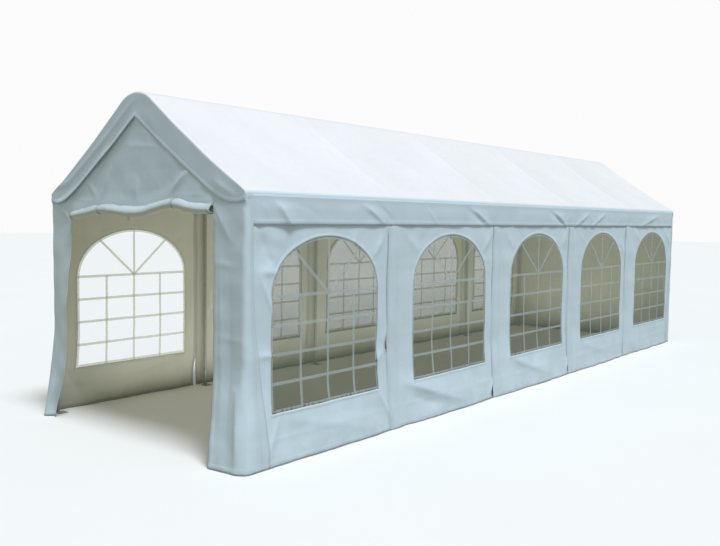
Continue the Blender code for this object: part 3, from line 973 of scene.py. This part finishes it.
def shape_flanks(x, y, side, reach, up):
    """Swings the loose edges of the flanks out and gathers their feet towards the corners."""
    flat_end = WRAP_FACE - CORNER_FOLD
    loose = up < FLANK_TOP
    swing = math.radians(FLANK_SWING) * smooth((2.0 - up) / 0.95)
    free = np.where(side < 0, np.clip(flat_end - reach, 0, None), 0) * loose
    x = x + free * (1 - np.cos(swing))
    y = y + free * np.sin(swing)
    from_corner = np.clip((flat_end - reach) / (flat_end - DOOR_HALF), 0, 1) * loose
    low = np.clip(1 - up / 0.9, 0, 1) ** 1.5
    x = x + GATHER_RIGHT * smooth(from_corner) * low * (side > 0)
    y = y + SWING_RIGHT * smooth(from_corner) * low * (side > 0)
    low = smooth((0.55 - up) / 0.5)
    fold = GATHER_FOLD * np.sin(2 * math.pi * from_corner) - GATHER_BACK * from_corner
    x = x + GATHER_LEFT * from_corner * low * (side < 0)
    y = y + fold * low * (side < 0)
    return x, y


def end_place(facing, run, up, open_door):
    """Points of an end sheet. run is the distance across it from the middle, round the corners."""
    side = np.sign(run)
    reach = np.abs(run)
    flat_end = WRAP_FACE - CORNER_FOLD
    corner = CORNER_FOLD * math.pi / 2
    past = reach - flat_end
    angle = np.clip(past / CORNER_FOLD, 0, math.pi / 2)
    beyond = np.clip(past - corner, 0, None) * wrap_width(up) / WRAP_TOP_WIDTH
    radius = CORNER_FOLD + (CORNER_FOLD_LOW - CORNER_FOLD) * smooth((1.9 - up) / 1.4)
    radius = radius + (CORNER_FOLD_TOP - CORNER_FOLD) * smooth((up - 2.17) / 0.06)
    stretched = reach + (CORNER_FOLD - radius) * smooth((reach - 1.2) / (flat_end - 1.2))
    x = np.where(past > 0, WRAP_FACE - radius + radius * np.sin(angle), stretched)
    back = radius * (1 - np.cos(angle)) + beyond
    across = side * x
    along = facing * (END_FACE - back)
    out_end = end_swell(facing, across, up)
    out_side = side_swell(1, along, up) * (side > 0) + side_swell(-1, along, up) * (side < 0)
    over_seam = SEAM_STAND * smooth((up - EAVE + EAVE_SEAM + 0.04) / 0.02)
    x = x + np.sin(angle) ** 2 * (out_side + over_seam)
    y = END_FACE - back + np.cos(angle) ** 2 * out_end
    if open_door:
        x, y = shape_flanks(x, y, side, reach, up)
        near_roll = smooth((roll_height(across) + 0.17 - up) / 0.13) * smooth((DOOR_HALF - reach) / 0.05)
        y = y + (HALF_LENGTH + GABLE_REACH - y) * near_roll
    points = np.stack([side * x, facing * y, up + 0 * x], -1)
    return push_corner(points.reshape(-1, 3))


def build_end(name, facing, open_door, materials):
    """An end sheet wrapped round both corners: flanks, or a closed door between them, and the gable."""
    flat_end = WRAP_FACE - CORNER_FOLD
    corner = CORNER_FOLD * math.pi / 2
    half = np.concatenate([
        np.linspace(0, DOOR_HALF - 0.003, 61),
        [DOOR_HALF + 0.003],
        np.linspace(DOOR_HALF + 0.003, DOOR_HALF + ZIP_BAND, 4)[1:],
        [DOOR_HALF + ZIP_BAND + 0.003],
        np.linspace(DOOR_HALF + ZIP_BAND + 0.003, flat_end, 22)[1:],
        flat_end + np.linspace(0, corner, 7)[1:],
        flat_end + corner + np.linspace(0, WRAP_TOP_WIDTH, 8)[1:],
    ])
    run = np.concatenate([-half[:0:-1], half])
    full = half[-1]
    far = np.abs(run)
    top = RIDGE - np.minimum(far, WALL_FACE) * math.tan(PITCH) - rake_fold(far)
    top = np.where(far < flat_end, top, np.minimum(top, EAVE - EAVE_SEAM))
    door = far < DOOR_HALF
    if open_door:
        low = np.where(door, roll_height(run) + 0.4 * ROLL_RADIUS, FLANK_TOP)
        below = np.where(~door)[0]
    else:
        low = FLANK_TOP + 0 * run
        below = np.arange(len(run))
    shares = np.linspace(0, 1, 56)[:, None]
    gable_up = low + (top - low) * shares
    gable_run = run + 0 * gable_up
    flank_up = GROUND_CLEARANCE + with_hem(FLANK_TOP - GROUND_CLEARANCE, 0.022)[:-1]
    flank_run = np.broadcast_to(run[below], (len(flank_up), len(below)))
    flank_up = flank_up[:, None] + 0 * flank_run

    def bands(run, up):
        far = np.abs(run)
        strip = smooth((far - DOOR_HALF + 0.004) / 0.003)
        strip = strip * smooth((DOOR_HALF + ZIP_BAND + 0.004 - far) / 0.003)
        strip = strip * smooth((FLANK_TOP + 0.05 - up) / 0.01)
        header = smooth((0.02 - np.abs(up - FLANK_TOP - 0.03)) / 0.004)
        header = header * (far < DOOR_HALF) * (not open_door)
        return HEM_RISE * np.maximum(strip, header)

    def lay(run, up):
        points = end_place(facing, run, up, open_door)
        edge = np.minimum(up - GROUND_CLEARANCE, full - np.abs(run))
        if open_door:
            jamb = np.where(up < FLANK_TOP + 0.02, np.abs(np.abs(run) - DOOR_HALF), 1.0)
            edge = np.minimum(edge, np.minimum(jamb, 1.0))
        raised = bands(run, up) + hem_step(up - GROUND_CLEARANCE)
        points[:, 1] += facing * (raised * (np.abs(run) < flat_end)).ravel()
        return points, np.stack([run, up], -1).reshape(-1, 2), edge.ravel()

    gable = lay(gable_run, gable_up)
    flank = lay(flank_run, flank_up)
    gable_index = np.arange(gable_run.size).reshape(gable_run.shape)
    flank_index = gable_run.size + np.arange(flank_run.size).reshape(flank_run.shape)
    flank_index = np.concatenate([flank_index, gable_index[:1, below]])
    flip = facing > 0
    quads = [grid_quads(gable_index, flip)]
    breaks = np.where(np.diff(below) > 1)[0]
    for part in np.split(np.arange(len(below)), breaks + 1):
        quads.append(grid_quads(flank_index[:, part], flip))
    points, cloth, edge = (np.concatenate(pair) for pair in zip(gable, flank))
    return make_piece(name, points, np.concatenate(quads), cloth, edge, materials)


def build_ends(materials):
    front = build_end("front_end_sheet", -1, True, materials)
    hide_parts("front_gable", "front_left_flank", "front_right_flank")
    back = build_end("back_end_sheet", 1, False, materials)
    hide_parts("back_wall")


# Rolled door

def roll_places(across, angle, radius):
    """Points round the roll's middle line."""
    step = 0.001
    slope = (roll_height(across + step) - roll_height(across - step)) / (2 * step)
    tilt = np.arctan(slope)
    x = across - radius * np.sin(angle) * np.sin(tilt)
    y = ROLL_CENTRE_Y + radius * np.cos(angle)
    z = roll_height(across) + radius * np.sin(angle) * np.cos(tilt)
    return np.stack([x, y, z], -1)


def roll_outline(angle):
    """How far the roll reaches each way, against its mean: it leans out and down."""
    return 1 + ROLL_FLATNESS * np.cos(2 * (angle - math.radians(228)))


def build_tie(number, place, tape):
    """A strap round the roll."""
    angle = np.linspace(0, 2 * math.pi, 41)[:-1][:, None]
    widths = np.linspace(-0.013, 0.013, 4)[None]
    radius = ROLL_RADIUS * 0.9 * roll_outline(angle) + 0.003
    radius = radius + 0.001 * noise(angle, widths, 0.7, 60 + number)
    points = roll_places(place + widths + 0 * angle, angle + 0 * widths, radius)
    index = number_points(points)
    quads = grid_quads(np.concatenate([index, index[:1]]))
    cloth = np.stack([angle * radius, widths + 0 * angle], -1).reshape(-1, 2)
    edge = np.ones(index.shape)
    strap = make_piece(f"door_tie_{number}", points.reshape(-1, 3), quads, cloth, edge, tape)
    return strap


def build_tab(materials):
    """The tab that hangs from the roll, left of its middle."""
    drop = np.linspace(0, 0.09, 12)[:, None]
    widths = np.linspace(-0.019, 0.019, 5)[None]
    x = TAB_PLACE + widths * (1 - drop) + 0.02 * drop
    y = ROLL_CENTRE_Y - 0.034 - 0.15 * drop + 0.03 * drop * widths / 0.019
    z = roll_height(np.array(TAB_PLACE)) - ROLL_RADIUS + 0.024 - drop
    points = np.stack([x, y + 0 * x, z + 0 * x], -1)
    quads = grid_quads(number_points(points))
    cloth = np.stack([x, z + 0 * x], -1).reshape(-1, 2)
    tab = make_piece("door_tab", points.reshape(-1, 3), quads, cloth, 1 + 0 * x, materials)
    return tab


def build_roll(materials, tape):
    """The door sheet, rolled up in a spiral and held under the gable by two ties. Its last strip is turned
    inside out and lies under the roll, where the inner face's darker painted khaki stands in for the shade
    of the roll's underside."""
    reach = -ROLL_HANG[0][0]
    across = np.linspace(-reach, reach, 97)[:, None]
    turns = np.linspace(0, ROLL_TURNS, ROLL_TURNS * TURN_STEPS + 1)[None]
    angle = math.radians(-20) + 2 * math.pi * turns
    radius = ROLL_HOLLOW + (ROLL_RADIUS - ROLL_HOLLOW) * turns / ROLL_TURNS
    squeeze = 1 + 0.10 * bump(across, -0.03, 0.22) - sum(0.13 * bump(across, tie, 0.03) for tie in TIES)
    twist = angle + across * 1.2
    lumps = 1 + 0.10 * noise(across, np.sin(twist) * 0.1, 0.13, 51)
    lumps = lumps + 0.05 * noise(across * 4, np.cos(twist), 0.5, 52)
    lumps = lumps + 0.06 * crumple(across, np.sin(twist) * 0.05 + 0 * across, 0.10, 54)
    radius = radius * squeeze * lumps * roll_outline(angle)
    ends = 1 + 0.006 * noise(0 * across, turns, 0.7, 53) - 0.035 * (1 - turns / ROLL_TURNS) ** 2
    points = roll_places(across * ends, angle + 0 * across, radius)
    quads = grid_quads(number_points(points))
    length = 2 * math.pi * (ROLL_HOLLOW + ROLL_RADIUS) / 2 * turns
    cloth = np.stack([across + 0 * turns, length + 0 * across], -1).reshape(-1, 2)
    edge = np.minimum(reach - np.abs(across), length[0, -1] + 0.005 - length)
    roll = make_piece("door_roll", points.reshape(-1, 3), quads, cloth, edge, materials, offset=0)
    turned = np.zeros((len(across) - 1, turns.size - 1), bool)
    turned[:, -int(TURNED_OUT * TURN_STEPS):] = True
    roll.data.polygons.foreach_set("material_index", turned.ravel().astype(np.int32))
    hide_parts("front_door_roll")
    names = [build_tie(number, place, tape) for number, place in enumerate(TIES, start=1)]
    names.append(build_tab(materials))


# Materials

def add_node(tree, kind, inputs=None, **settings):
    """Adds a node. An input's value is a number, a colour or another node's output."""
    node = tree.nodes.new(kind)
    for name, value in settings.items():
        setattr(node, name, value)
    for socket, value in (inputs or {}).items():
        if isinstance(value, bpy.types.NodeSocket):
            tree.links.new(value, node.inputs[socket])
        else:
            node.inputs[socket].default_value = value
    return node


def math_node(tree, operation, first, second=0.0):
    return add_node(tree, "ShaderNodeMath", {0: first, 1: second}, operation=operation).outputs[0]


def mix_color(tree, factor, first, second):
    colors = [(*c, 1.0) if isinstance(c, tuple) else c for c in (first, second)]
    node = add_node(tree, "ShaderNodeMix", {0: factor, 6: colors[0], 7: colors[1]}, data_type="RGBA")
    return node.outputs[2]


def noise_node(tree, place, scale, detail=2.0, kind="FBM"):
    settings = {"Vector": place, "Scale": scale, "Detail": detail}
    return add_node(tree, "ShaderNodeTexNoise", settings, noise_type=kind).outputs[0]


def map_range(tree, value, low, high, to_low, to_high):
    settings = {"Value": value, "From Min": low, "From Max": high, "To Min": to_low, "To Max": to_high}
    return add_node(tree, "ShaderNodeMapRange", settings).outputs[0]


def object_place(tree):
    return add_node(tree, "ShaderNodeTexCoord").outputs["Object"]


def cloth_uv(tree):
    """Places on the flat cloth, in metres."""
    return add_node(tree, "ShaderNodeUVMap", uv_map="cloth").outputs[0]


def point_value(tree, name):
    return add_node(tree, "ShaderNodeAttribute", attribute_name=name).outputs["Fac"]


def wave_node(tree, place, scale, direction):
    settings = {"Vector": place, "Scale": scale}
    return add_node(tree, "ShaderNodeTexWave", settings, bands_direction=direction).outputs[0]


def bump_node(tree, height, distance, strength, under=None):
    """A relief, laid over the one under it where there is one."""
    settings = {"Height": height, "Distance": distance, "Strength": strength}
    if under is not None:
        settings["Normal"] = under
    return add_node(tree, "ShaderNodeBump", settings).outputs[0]


def feed(tree, shader, inputs):
    """Links nodes to a shader's inputs by their names."""
    for name, value in inputs.items():
        tree.links.new(value, shader.inputs[name])


def new_material(name, roughness, metallic=0.0):
    material = bpy.data.materials.new(name)
    material.use_nodes = True
    tree = material.node_tree
    shader = tree.nodes["Principled BSDF"]
    shader.inputs["Roughness"].default_value = roughness
    shader.inputs["Metallic"].default_value = metallic
    return material, tree, shader


def shaded(color, factor):
    return tuple(channel * factor for channel in color)


def cloth_base(tree, color, border, double_shade):
    """Patches and streaks of a colour. A border is the colour blended in near a sheet's edges, which on the
    roof is the valance's painted shade, and double_shade how bright the cloth is where it lies double:
    painted shade, for the less light that comes through two layers."""
    place = object_place(tree)
    patches = map_range(tree, noise_node(tree, place, 1.1, 4.0), 0.3, 0.7, 0.0, 1.0)
    base = mix_color(tree, patches, shaded(color, 0.955), shaded(color, 1.0))
    drawn_out = add_node(tree, "ShaderNodeMapping", {"Vector": place, "Scale": (9.0, 9.0, 1.1)})
    streaks = noise_node(tree, drawn_out.outputs[0], 1.0, 5.0)
    streaks = map_range(tree, streaks, 0.5, 0.8, 0.0, 0.35)
    base = mix_color(tree, streaks, base, shaded(color, 0.90))
    # Near the edges, the roof's painted highlight gives way to the border's painted shade
    if border:
        inside = map_range(tree, point_value(tree, "edge"), BORDER_EDGE, BORDER_EDGE + 0.2, 0.0, 1.0)
        base = mix_color(tree, inside, border, base)
    # Painted shade where the cloth lies double
    painted_double_shade = add_node(tree, "ShaderNodeHueSaturation", {"Value": double_shade, "Color": base}).outputs[0]
    return mix_color(tree, point_value(tree, "double"), base, painted_double_shade)


def soil_share(tree, soiled):
    """How much soil lies on the cloth: spots near the ground."""
    place = object_place(tree)
    height = add_node(tree, "ShaderNodeSeparateXYZ", {0: place}).outputs[2]
    near_ground = map_range(tree, height, 0.0, 0.20, 1.0, 0.0)
    spots = map_range(tree, noise_node(tree, place, 13.0, 6.0), 0.42, 0.75, 0.0, 1.0)
    soil = math_node(tree, "MULTIPLY", math_node(tree, "MULTIPLY", near_ground, near_ground), spots)
    return math_node(tree, "MULTIPLY", soil, soiled)


def stitch_row(tree, cloth):
    """1 on the stitches, which run in a dashed row along each hem."""
    spread = add_node(tree, "ShaderNodeSeparateXYZ", {0: cloth})
    run = math_node(tree, "ADD", spread.outputs[0], spread.outputs[1])
    step = math_node(tree, "FRACT", math_node(tree, "MULTIPLY", run, STITCHES_PER_METRE))
    dash = math_node(tree, "LESS_THAN", step, 0.6)
    from_row = math_node(tree, "SUBTRACT", point_value(tree, "edge"), 0.6 * HEM)
    near_row = math_node(tree, "LESS_THAN", math_node(tree, "ABSOLUTE", from_row), 0.0009)
    return math_node(tree, "MULTIPLY", dash, near_row)


def cloth_relief(tree, cloth, stitch):
    """Broad wrinkles, small ones over them, and the weave with its stitches over both."""
    broad = noise_node(tree, cloth, 2.2, 4.0, "RIDGED_MULTIFRACTAL")
    fine = noise_node(tree, cloth, 8.0, 4.0, "RIDGED_MULTIFRACTAL")
    warp = wave_node(tree, cloth, 125.0, "X")
    weft = wave_node(tree, cloth, 125.0, "Y")
    weave = math_node(tree, "MAXIMUM", warp, weft)
    weave = math_node(tree, "SUBTRACT", weave, math_node(tree, "MULTIPLY", stitch, 2.0))
    normal = bump_node(tree, broad, 0.012, 0.7)
    normal = bump_node(tree, fine, 0.002, 0.7, normal)
    return bump_node(tree, weave, 0.00025, 0.5, normal)


def cloth_material(name, color, soiled, roughness=0.5, border=None, double_shade=0.92):
    """Coated woven cloth: a fine weave, small wrinkles, a row of stitches along the hems, and soil."""
    material, tree, shader = new_material(name, roughness)
    cloth = cloth_uv(tree)
    stitch = stitch_row(tree, cloth)
    base = cloth_base(tree, color, border, double_shade)
    base = mix_color(tree, soil_share(tree, soiled), base, SOIL_COLOR)
    base = mix_color(tree, math_node(tree, "MULTIPLY", stitch, 0.35), base, shaded(color, 0.55))
    grain = noise_node(tree, object_place(tree), 24.0, 3.0)
    rough = map_range(tree, grain, 0.3, 0.7, roughness - 0.07, roughness + 0.08)
    normal = cloth_relief(tree, cloth, stitch)
    feed(tree, shader, {"Base Color": base, "Roughness": rough, "Normal": normal})
    shader.inputs["Sheen Weight"].default_value = 0.08
    shader.inputs["Specular IOR Level"].default_value = 0.35
    return material


def film_material(name, haze_and_shade, tint_low, tint_high):
    """Clear soft film: slightly cloudy, glossy and wavy. Its haze_and_shade is the share of light that it
    stops, and its tint changes with height: darker and less clear towards the bottom, which is painted
    shade of the dim floor inside seen through it."""
    material, tree, shader = new_material(name, 0.12)
    place = object_place(tree)
    cloudy = map_range(tree, noise_node(tree, place, 2.4, 4.0), 0, 1, -0.3, 0.3)
    height = add_node(tree, "ShaderNodeSeparateXYZ", {0: place}).outputs[2]
    rise = math_node(tree, "ADD", map_range(tree, height, 0.6, 1.2, 0.0, 1.0), cloudy)
    # Darker and more opaque low down: painted shade of the dim inside
    tint = mix_color(tree, math_node(tree, "MAXIMUM", rise, 0.0), tint_low, tint_high)
    alpha = map_range(tree, rise, 0.0, 1.0, 1.2 * haze_and_shade, 0.9 * haze_and_shade)
    normal = bump_node(tree, noise_node(tree, place, 7.0, 2.0), 0.01, 0.35)
    feed(tree, shader, {"Base Color": tint, "Alpha": alpha, "Normal": normal})
    return material


def bar_material():
    """Printed strips on the film, a little worn: pale outside, and khaki inside, which is painted tint and
    shade of the light inside, as on the cloth's inner face.
    """
    material, tree, shader = new_material("window_bars_white", 0.45)
    place = object_place(tree)
    worn = map_range(tree, noise_node(tree, place, 30.0, 5.0), 0.45, 0.8, 0.0, 0.5)
    outside = mix_color(tree, worn, (0.56, 0.63, 0.64), (0.42, 0.46, 0.42))
    # Faces seen from inside get the painted khaki shade of the light inside
    inner = add_node(tree, "ShaderNodeNewGeometry").outputs["Backfacing"]
    color = mix_color(tree, inner, outside, (0.74, 0.79, 0.60))
    normal = bump_node(tree, noise_node(tree, place, 60.0, 2.0), 0.0005, 0.3)
    feed(tree, shader, {"Base Color": color, "Normal": normal})
    shader.inputs["Alpha"].default_value = 0.62
    return material


def steel_material():
    """Powder-coated tube, painted dark grey: painted shade of the legs inside the tent, with faint orange
    peel and scuffs.
    """
    material, tree, shader = new_material("steel_coated", 0.4, 0.35)
    place = object_place(tree)
    scuffs = map_range(tree, noise_node(tree, place, 22.0, 8.0), 0.55, 0.75, 0.0, 1.0)
    color = mix_color(tree, scuffs, (0.40, 0.41, 0.39), (0.28, 0.28, 0.26))
    rough = map_range(tree, scuffs, 0.0, 1.0, 0.36, 0.62)
    normal = bump_node(tree, noise_node(tree, place, 260.0, 2.0), 0.0004, 0.4)
    feed(tree, shader, {"Base Color": color, "Roughness": rough, "Normal": normal})
    return material


def zinc_material():
    """Zinc-plated fittings."""
    material, tree, shader = new_material("bolt_zinc", 0.35, 1.0)
    mottled = noise_node(tree, object_place(tree), 120.0, 3.0)
    mottled = map_range(tree, mottled, 0.35, 0.7, 0.0, 1.0)
    color = mix_color(tree, mottled, (0.60, 0.61, 0.60), (0.42, 0.43, 0.43))
    rough = map_range(tree, mottled, 0.0, 1.0, 0.28, 0.45)
    feed(tree, shader, {"Base Color": color, "Roughness": rough})
    return material


def tape_material():
    """Woven tape: coarse diagonal ribs."""
    material, tree, shader = new_material("tie_tape", 0.7)
    ribs = wave_node(tree, cloth_uv(tree), 90.0, "DIAGONAL")
    color = mix_color(tree, ribs, (0.55, 0.60, 0.60), (0.66, 0.71, 0.72))
    feed(tree, shader, {"Base Color": color, "Normal": bump_node(tree, ribs, 0.0006, 0.6)})
    return material


# Frame

def dress_frame(steel):
    """Gives the legs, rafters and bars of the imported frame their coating."""
    for name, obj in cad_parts.items():
        if any(part in name for part in ("leg", "rafter", "rail")):
            if not obj.material_slots:
                obj.data.materials.append(steel)
            for slot in obj.material_slots:
                slot.material = steel


def add_bolt(shape, place, direction):
    """A hexagon head on a washer, whose shank points along a direction from its place on the tube."""
    turn = Vector(direction).to_track_quat("Z", "Y").to_matrix().to_4x4()
    for radius, depth, sides, lift in ((0.0095, 0.0016, 20, 0.0008), (0.0065, 0.0055, 6, 0.0043)):
        matrix = Matrix.Translation(Vector(place)) @ turn @ Matrix.Translation((0, 0, lift))
        bmesh.ops.create_cone(
            shape, cap_ends=True, segments=sides, radius1=radius, radius2=radius, depth=depth, matrix=matrix
        )


def build_bolts(material):
    """The set screws of the socket fittings, one on each sleeve."""
    ridge_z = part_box("ridge_rail")[1].z - COLLAR_RADIUS
    eave_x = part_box("right_eave_rail")[1].x - COLLAR_RADIUS
    end_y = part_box("right_leg_6")[1].y - COLLAR_RADIUS
    eave_z = ridge_z - eave_x * math.tan(PITCH)
    run = SCREW_REACH * math.cos(PITCH)
    rise = SCREW_REACH * math.sin(PITCH)
    lines = [-end_y, *FRAME_LINES[1:-1], end_y]
    shape = bmesh.new()
    for y in lines:
        face = 1 if y < end_y else -1
        for side in (-1, 1):
            centres = [
                (side * run, ridge_z - rise),
                (side * (eave_x - run), eave_z + rise),
                (side * eave_x, eave_z - SCREW_REACH),
            ]
            for x, z in centres:
                add_bolt(shape, (x, y + face * SLEEVE_RADIUS, z), (0, face, 0))
    mesh = bpy.data.meshes.new("socket_bolts")
    shape.to_mesh(mesh)
    shape.free()
    mesh.materials.append(material)
    obj = link_object("socket_bolts", mesh)
    bevel = obj.modifiers.new("Bevel", "BEVEL")
    bevel.width = 0.0006
    bevel.segments = 1
    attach(obj, "root")


# Stage

def build_floor():
    """A wide pale floor. It sends back less light than the camera sees on it."""
    bpy.ops.mesh.primitive_circle_add(vertices=96, radius=90, fill_type="NGON")
    floor = bpy.context.object
    floor.name = "floor"
    material, tree, shader = new_material("floor_pale", 0.85)
    place = add_node(tree, "ShaderNodeTexCoord").outputs["Object"]
    pale = mix_color(tree, noise_node(tree, place, 0.4, 3.0), (0.93, 0.90, 0.88), (0.96, 0.93, 0.91))
    seen = add_node(tree, "ShaderNodeLightPath").outputs["Is Camera Ray"]
    tree.links.new(mix_color(tree, seen, (0.33, 0.33, 0.29), pale), shader.inputs["Base Color"])
    shader.inputs["Specular IOR Level"].default_value = 0.1
    floor.data.materials.append(material)


def build_light():
    """A soft sun from the right, a pale sky, and a weak glow on the ground inside, which stands for the
    light that comes through the cloth."""
    sun = bpy.data.lights.new("key", "SUN")
    sun.energy = SUN_STRENGTH
    sun.angle = math.radians(18)
    sun.color = (0.91, 1.0, 1.11)
    key = link_object("key", sun)
    key.rotation_euler = Vector(SUN_FROM).to_track_quat("Z", "Y").to_euler()
    area = bpy.data.lights.new("inside_glow", "AREA")
    area.shape = "RECTANGLE"
    area.size = 2.5
    area.size_y = 9.2
    area.energy = GLOW_STRENGTH
    area.color = (1.0, 1.0, 0.96)
    glow = link_object("inside_glow", area)
    glow.location = (0, 0.1, 0.05)
    glow.rotation_euler = (math.pi, 0, 0)
    glow.visible_camera = False
    world = bpy.data.worlds.new("studio")
    bpy.context.scene.world = world
    world.use_nodes = True
    tree = world.node_tree
    seen = add_node(tree, "ShaderNodeLightPath").outputs["Is Camera Ray"]
    color = mix_color(tree, seen, (0.92, 0.98, 0.89), (1.0, 1.0, 1.0))
    strength = map_range(tree, seen, 0.0, 1.0, SKY_STRENGTH, BACKDROP_STRENGTH)
    feed(tree, tree.nodes["Background"], {"Color": color, "Strength": strength})


def build_camera():
    """The camera of the photograph."""
    data = bpy.data.cameras.new("camera")
    data.lens = CAMERA_LENS
    data.sensor_width = SENSOR
    data.clip_end = 300
    camera = link_object("camera", data)
    yaw, pitch, roll = (math.radians(a) for a in (CAMERA_YAW, CAMERA_PITCH, CAMERA_ROLL))
    look = Vector((-math.sin(yaw) * math.cos(pitch), math.cos(yaw) * math.cos(pitch), math.sin(pitch)))
    level = Vector((math.cos(yaw), math.sin(yaw), 0))
    up = level.cross(look)
    right = level * math.cos(roll) + up * math.sin(roll)
    up = up * math.cos(roll) - level * math.sin(roll)
    turn = Matrix((right, up, -look)).transposed().to_4x4()
    camera.matrix_world = Matrix.Translation(CAMERA_PLACE) @ turn
    bpy.context.scene.camera = camera


def build_scene():
    build_camera()
    build_light()
    build_floor()
    # The inner face: painted khaki shade of the light inside, and darker still where the cloth lies double
    inside = cloth_material("cloth_inside", INSIDE_PAINTED_SHADE, 0.35, double_shade=0.74)
    # The roof and valance are the walls' cloth with a painted highlight and a painted shade
    valance_painted_shade = shaded(WALL_COLOR, VALANCE_SHADE)
    roof_cloth = [cloth_material("cloth_roof", ROOF_PAINTED_HIGHLIGHT, 0.0, 0.45, border=valance_painted_shade), inside]
    valance_cloth = [cloth_material("cloth_valance", valance_painted_shade, 0.0), inside]
    wall_cloth = [cloth_material("cloth_wall", WALL_COLOR, 0.35), inside]
    roll_cloth = [cloth_material("cloth_roll", ROLL_COLOR, 0.0), inside]
    clear = film_material("window_film_clear", 0.05, (0.30, 0.33, 0.27), (0.36, 0.40, 0.34))
    # Every window but the first on the left gets the dark film: painted shade of the dim inside seen
    # through it
    painted_dark_film = film_material("window_film_painted_dark", 0.50, (0.07, 0.10, 0.07), (0.27, 0.29, 0.22))
    bars = bar_material()
    build_roof(roof_cloth)
    for side_name, side in (("left", -1), ("right", 1)):
        build_valance(side_name, side, valance_cloth)
        for bay in range(BAYS):
            build_wall_sheet(side_name, side, bay, wall_cloth)
            lines = build_bars(side_name, side, bay, bars)
            build_film(side_name, side, bay, clear if (side, bay) == (-1, 0) else painted_dark_film)
    build_ends(wall_cloth)
    build_roll(roll_cloth, [tape_material()])
    dress_frame(steel_material())
    build_bolts(zinc_material())
    bpy.context.scene.view_settings.view_transform = "Standard"


build_scene()
